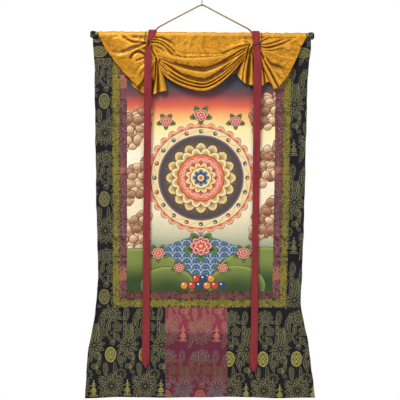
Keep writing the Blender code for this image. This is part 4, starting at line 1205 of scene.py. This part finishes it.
def crease(grid):
    """All creases together, and gathers near the ties."""
    x, z = grid[..., 0], grid[..., 2]
    moved = np.zeros(x.shape)
    for start, end, width, path in CREASES:
        smooth = rows_through(path, np.linspace(0, len(path) - 1, 16))
        gap, along = near_path(x, z, smooth)
        wide = width * (0.85 + 0.5 * along)
        beside = np.exp(-(gap / wide) ** 2)
        if start < 0:
            beside -= 0.3 * np.exp(-((gap - 2.0 * wide) / wide) ** 2)
        moved += DEEPER * (start * (1 - along) + end * along) * (1 - along ** 5) * beside
    for tie_x, tie_z in ((-146, -144), (149, -146)):
        reach = np.hypot(x - tie_x, z - tie_z)
        angle = np.arctan2(z - tie_z, x - tie_x)
        fine = np.sin(angle * 17 + 1.5 * np.sin(angle * 3)) * np.exp(-reach / 26) * (1 - np.exp(-reach / 9))
        moved += (0.5 if tie_x < 0 else 1.8) * fine * np.clip((row_at[:, None] - 0.5) / 2, 0, 1)
    crumple = (np.sin(x / 6.1 + 2.2 * np.sin(z / 13)) * np.sin(z / 7.7 + 2 * np.sin(x / 17))
               + 0.6 * np.sin(x / 3.3 + 1.9 * np.sin(z / 8.1)) * np.sin(z / 4.1 + 1.3 * np.sin(x / 9)))
    return moved + CRUMPLED * crumple


hanging[..., 1] = np.maximum(hanging[..., 1] + crease(hanging), 2.5)
wrap_turns = np.radians(np.linspace(84, 6, 10))
seam_x = hanging[0, :, 0]
seam_z = np.interp(seam_x, ROLL_ENDS, ROLL_HEIGHTS)
ripple = 0.5 * np.sin(seam_x / 5.3 + 2 * np.sin(seam_x / 31)) + 0.4 * np.sin(seam_x / 13)
wrap = np.stack([np.stack([seam_x, WRAP_RADIUS * np.cos(turn) + 0 * seam_x,
                           seam_z + (WRAP_RADIUS + ripple * np.sin(turn)) * np.sin(turn)], -1)
                 for turn in wrap_turns])
silk_grid = np.concatenate([wrap, hanging])
silk_front = silk_grid * (1, -1, 1)
print("silk points:", silk_front.shape[0] * silk_front.shape[1])

# %% [markdown]
# Satin damask is one colour: its figure shows because threads lie another way and shine otherwise.
# So figure and ground differ in gloss and a little in tone. The highlights of silk are coloured,
# which a touch of metallic gives. Each point also keeps how far it lies behind the mean of its
# surroundings, and from that the finish paints shade into folds and a highlight on their ridges.

# %% Silk damask
silk_finish, shader = start_finish("gold_silk_damask", roughness=0.42, metallic=0.35, specular=0.25)
x, y = cloth_place()
figure = line(wrapped(mottle(x, y, 17.0, detail=1, warp=1.4, seed=2.0) * 7.0, 0.5), 0.17, 0.08)
blooms = rise(mottle(x, y, 13.0, detail=3, warp=1.0, seed=13.0), 0.5, 0.57)
figure = most(figure * 0.7, blooms)
slub = mottle(x * 0.3, y * 4.0, 2.4, detail=3, seed=4.0)
base = over("e69e28", rise(mottle(x, y, 40.0, detail=4, seed=6.0), 0.38, 0.62), "d08a14")
base = over(base, figure * 0.75, "8f5e10")
base = over(base, rise(mottle(x, y, 4.2, detail=2, seed=9.0), 0.56, 0.66) * 0.4, "6e440c")
base = over(base, slub * 0.2, "e0a832")
# Painted shade and highlight: the kept fold depth darkens the hollows of the folds to deep brown and lightens the
# ridges to pale gold.
depth = kept_number("painted_shading")
base = over(base, rise(depth, -0.15, -1.0) * 0.5, "edb140")
base = over(base, rise(depth, 0.15, 1.05) * 0.85, "452000")
put(figure * 0.16 + slub * 0.1 + 0.32, shader.inputs["Roughness"])
dress(shader, base, figure * 0.5 + slub + weave(x, y, 0.5) * 0.3, 0.12)
silk_back, shader = start_finish("gold_silk_reverse", roughness=0.55, metallic=0.1, sheen=0.2)
x, y = cloth_place()
tone = over("8d6420", mottle(x * 0.3, y * 4.0, 2.4, detail=3), "a9792c")
dress(shader, tone, weave(x, y, 0.5), 0.1)
print("silk finishes:", silk_finish.name, silk_back.name)

# %% Hollows, hem and the finished silk
normal = np.cross(np.gradient(silk_front, axis=1), np.gradient(silk_front, axis=0))
normal /= np.maximum(np.linalg.norm(normal, axis=-1, keepdims=True), 1e-9)


def blurred(grid, axis, reach):
    """Each point's mean with its neighbours up to reach away along an axis, by running sums."""
    padded = np.pad(grid, [(reach + 1, reach) if a == axis else (0, 0) for a in range(3)], mode="edge")
    sums = np.cumsum(padded, axis=axis)
    count = grid.shape[axis]
    ahead, behind = np.arange(count) + 2 * reach + 1, np.arange(count)
    return (np.take(sums, ahead, axis) - np.take(sums, behind, axis)) / (2 * reach + 1)


# Each point's depth behind its surroundings, at two reaches, sets how much painted shade or painted highlight the
# silk gets.
painted_shading = sum(((silk_front - blurred(blurred(silk_front, 0, rows), 1, columns)) * normal).sum(-1) / size
             for rows, columns, size in ((3, 2, 0.7), (6, 4, 2.4)))
# Painted shade on the rear layer behind the left wing's corner, added to the fold depth.
painted_shading[len(wrap):, :WING_STEPS] += 0.5 * ((row_at > 13.5) & (row_at < 18.5))[:, None]
SILK, HEM_WIDE, HEM_RISE = 0.5, 6.0, 0.7
across = np.linalg.norm(np.diff(silk_front, axis=1), axis=-1)
down = np.linalg.norm(np.diff(silk_front, axis=0), axis=-1)
place_x = np.concatenate([np.zeros((len(across), 1)), np.cumsum(across, axis=1)], 1)
place_x -= place_x[:, [WING_STEPS + SWAG_STEPS // 2]]
place_y = -np.concatenate([np.zeros((1, down.shape[1])), np.cumsum(down, axis=0)], 0)
# A narrow hem is turned along both sides and the foot: a low step, with a groove where it is sewn.
run = place_x - place_x[:, :1]
from_edge = np.minimum.reduce([run, run[:, -1:] - run, place_y - place_y[-1:]])
groove = 0.35 * np.exp(-((from_edge - HEM_WIDE - 0.6) / 1.1) ** 2)
hem = HEM_RISE / (1 + np.exp((from_edge - HEM_WIDE) / 0.6)) - groove
hem = np.clip(hem, -0.3, HEM_RISE)[..., None] * normal
silk = add_sheet("silk_cover_gathered", silk_front - hem * 0.8, silk_front + normal * SILK + hem * 0.2,
                 np.stack([place_x, place_y], -1), [silk_finish, silk_back, silk_finish], ("painted_shading", painted_shading))
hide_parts("silk_cover")
print("silk:", len(silk.data.polygons), "faces")

# %% [markdown]
# The ribbons go up the back, over the roll and down the front. A strip bent along a curve would keep
# one width, but a tie pinches a real one into pleats. So a ribbon is a short line carried down its
# stations, each with a width of its own. Its folded edges stand a little forward along both sides.

# %% Ribbon stations and finish
RIBBON_LEFT = (     # x of the middle, out, z, width
    (-137, -1.75, -178, 21), (-137, -1.75, -166, 21), (-137, -4.6, -148, 21), (-137, -9.6, -133, 21),
    (-137, -11.4, -122, 21), (-137, -10.4, -112.5, 21), (-137, -5.6, -106.2, 21), (-137, 1, -104.4, 21),
    (-137, 7.4, -107, 21), (-137.2, 11, -113.5, 21), (-138.6, 13.4, -121, 18.5), (-143, 17.6, -131, 13.5),
    (-146.5, 20.2, -139, 8.5), (-147, 21, -144.5, 7.5), (-147.5, 21.5, -151, 10), (-148, 23, -162, 15),
    (-148.4, 24, -178, 19), (-148.7, 24.5, -200, 20), (-148.9, 24.5, -230, 20.5), (-149, 22.5, -265, 20.5),
    (-149, 18, -300, 20.5), (-150, 12, -380, 20.5), (-151, 9, -480, 20), (-152, 7, -600, 19.5),
    (-152.6, 7.5, -720, 19.5), (-153.2, 6.5, -830, 20), (-154, 7, -930, 20.5), (-154.8, 6, -1023, 21),
)
RIBBON_RIGHT = (
    (148, -1.75, -184, 21), (148, -1.75, -171, 21), (148, -4.6, -152, 21), (148, -9.6, -136, 21),
    (148, -11.4, -125, 21), (148, -10.4, -115.5, 21), (148, -5.6, -109.6, 21), (148, 1, -108, 21),
    (148, 7.4, -110.4, 21.5), (148.2, 11, -116.5, 21), (148.6, 13.6, -124, 20.5), (149.2, 17.8, -134, 19.5),
    (149.4, 20.6, -144, 17.5), (150.2, 22, -152, 18.5), (151.6, 23, -163, 20.5), (152.4, 24, -180, 21),
    (152.6, 24.5, -202, 21.5), (152.6, 24, -232, 22), (152.4, 21.5, -265, 22), (152, 17.5, -300, 21.5),
    (150.8, 12, -380, 20.5), (149.6, 9, -480, 19.5), (147.8, 7.5, -600, 18.5), (146.6, 7, -720, 18.5),
    (145.4, 7, -830, 19), (144.2, 6.5, -930, 20), (142.4, 6, -1034, 20.5),
)
RIBBON_WIDE, RIBBON_POINT, RIBBON_THICK = 21.0, 15.0, 1.0
ROWS, COLUMNS_ACROSS = 14, 17     # grid rows from one station to the next, and points across

ribbon_finish, shader = start_finish("crimson_ribbon_ribbed", roughness=0.65, specular=0.2)
x, y = cloth_place()
ribs = sine(y * (TAU / 0.9)) * 0.5 + 0.5
wear = mottle(x * 0.6, y * 0.12, 5.0, detail=3, seed=3.0)
base = over("8d2d33", rise(wear, 0.35, 0.75), "7e242b")
base = over(base, ribs * 0.15, "5c1520")
base = over(base, line(abs(x) - 9.4, 0.35, 0.2) * 0.35, "6b1a26")
dress(shader, base, ribs * 0.6 + wear, 0.2)
print("ribbon stations:", len(RIBBON_LEFT), len(RIBBON_RIGHT))

# %% Lay the ribbons


def lay_ribbon(name, stations, creases, solid):
    """Rows of points across the ribbon, ROWS to a station, offset both ways by half its thickness."""
    at = np.linspace(0, len(stations) - 1, ROWS * (len(stations) - 1) + 1)
    x, out, z, width = rows_through(stations, at).T
    u = np.linspace(-0.5, 0.5, COLUMNS_ACROSS)
    ahead = np.stack([np.gradient(-out), np.gradient(z)], -1)
    ahead /= np.linalg.norm(ahead, axis=1)[:, None]
    facing = np.stack([ahead[:, 1], -ahead[:, 0]], -1)
    along = run_along(np.stack([out, z], -1))
    edge = (0.5 - np.abs(u[None])) * width[:, None]
    relief = 0.28 / (1 + np.exp((edge - 2.6) / 0.3)) + 0.3 * np.sin(along / 38)[:, None] * (4 * u ** 2 - 1)
    pinch = np.clip((20.5 - width) / 12, 0, 1) * np.clip(1 - np.abs(at - 12) / 6, 0, 1)
    relief += (pinch[:, None] * 1.5) * np.sin(u * 22 + 0.6)
    for crease_z, tilt, depth in creases:
        gap = z[:, None] - crease_z - tilt * u * width[:, None]
        front_only = (out > 3)[:, None]
        relief += depth * front_only * (np.exp(-((gap - 2) / 2.6) ** 2) - np.exp(-((gap + 2) / 2.2) ** 2))
    half = RIBBON_THICK / 2 * np.sqrt(1 - (1 - np.clip(edge / 0.9, 0.04, 1)) ** 2)
    waver = 0.35 * np.sin(along / 27)[:, None] + 0.2 * np.sin(along / 9.0)[:, None]
    near_foot = np.clip(1 - np.arange(len(at))[::-1] / 10, 0, 1)[:, None]
    pointed_z = z[:, None] - RIBBON_POINT * near_foot * (1 - 2 * np.abs(u))
    across = x[:, None] + u * width[:, None] + waver
    sheets = [np.stack([across, facing[:, :1] * shift - out[:, None], pointed_z + facing[:, 1:] * shift], -1)
              for shift in (-half - relief, half - relief)]
    place = np.stack(np.broadcast_arrays(u * RIBBON_WIDE, along[:, None]), -1)
    piece = add_sheet(name, *sheets, place, [ribbon_finish])
    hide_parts(solid)
    print(name, round(along[-1] + RIBBON_POINT), "mm long")


lay_ribbon("ribbon_left_folded", RIBBON_LEFT, ((-901, 0.15, 1.6), (-949, -0.1, 1.5), (-1018, 0.05, 1.3)),
           "ribbon_left")
lay_ribbon("ribbon_right_folded", RIBBON_RIGHT, ((-947, 0.12, 1.6), (-700, 0.05, 0.4), (-1022, 0.0, 1.0)),
           "ribbon_right")

# %% [markdown]
# The light is a studio's: one broad lamp above and to the left brings out the folds, a weaker one
# fills from the right, and the surroundings are pale. The floor is far below and plain.

# %% Light and floor


def lamp(name, at, aim, size, watts):
    """A square lamp of that size in metres, turned towards a point."""
    data = bpy.data.lights.new(name, "AREA")
    data.size, data.energy = size, watts
    light = new_object(name, data)
    light.location = at
    toward = np.array(aim) - np.array(at)
    light.rotation_euler = (np.arccos(-toward[2] / np.linalg.norm(toward)), 0,
                            np.arctan2(toward[1], toward[0]) - np.pi / 2)


lamp("key", (-1.3, -2.2, 2.0), (0, 0, -0.5), 1.1, 105)
lamp("fill", (1.9, -2.6, -0.5), (0, 0, -0.6), 1.6, 23)
lamp("behind", (0.6, 2.4, 1.2), (0, 0, -0.5), 1.6, 50)

world = bpy.data.worlds.new("studio")
bpy.context.scene.world = world
world.use_nodes = True
Field.tree = world.node_tree
around = Field.tree.nodes["Background"]
around.inputs[0].default_value, around.inputs[1].default_value = (1, 1, 1, 1), 0.34
seen = new_node("Background", {0: "ffffff", 1: 1.0})
is_view = new_node("LightPath", {}).outputs["Is Camera Ray"]
mixer = new_node("MixShader", {0: is_view, 1: around.outputs[0], 2: seen.outputs[0]})
put(mixer.outputs[0], Field.tree.nodes["World Output"].inputs[0])
bpy.context.scene.view_settings.view_transform = "Standard"

FLOOR_Z = -1.36
floor_finish, shader = start_finish("pale_floor", roughness=0.9)
shader.inputs["Base Color"].default_value = (0.78, 0.77, 0.75, 1)
floor_mesh = bpy.data.meshes.new("floor")
corners = (-1.6, -1.8), (1.6, -1.8), (1.6, 1.0), (-1.6, 1.0)
floor_mesh.from_pydata([(*corner, FLOOR_Z) for corner in corners], [], [(0, 1, 2, 3)])
floor_mesh.materials.append(floor_finish)
floor = new_object("floor", floor_mesh)
floor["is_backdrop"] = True

# %% [markdown]
# Last, the room that the plain solids took up and the room that the dressed scroll takes up are
# written side by side. Finer cloth should change it by no more than about a millimetre.

# %% Sizes of the solids and of the dressed scroll
sizes = {"cad": [list(corner) for corner in solid_bounds], "visual": [list(corner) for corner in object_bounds()]}
print(sizes)
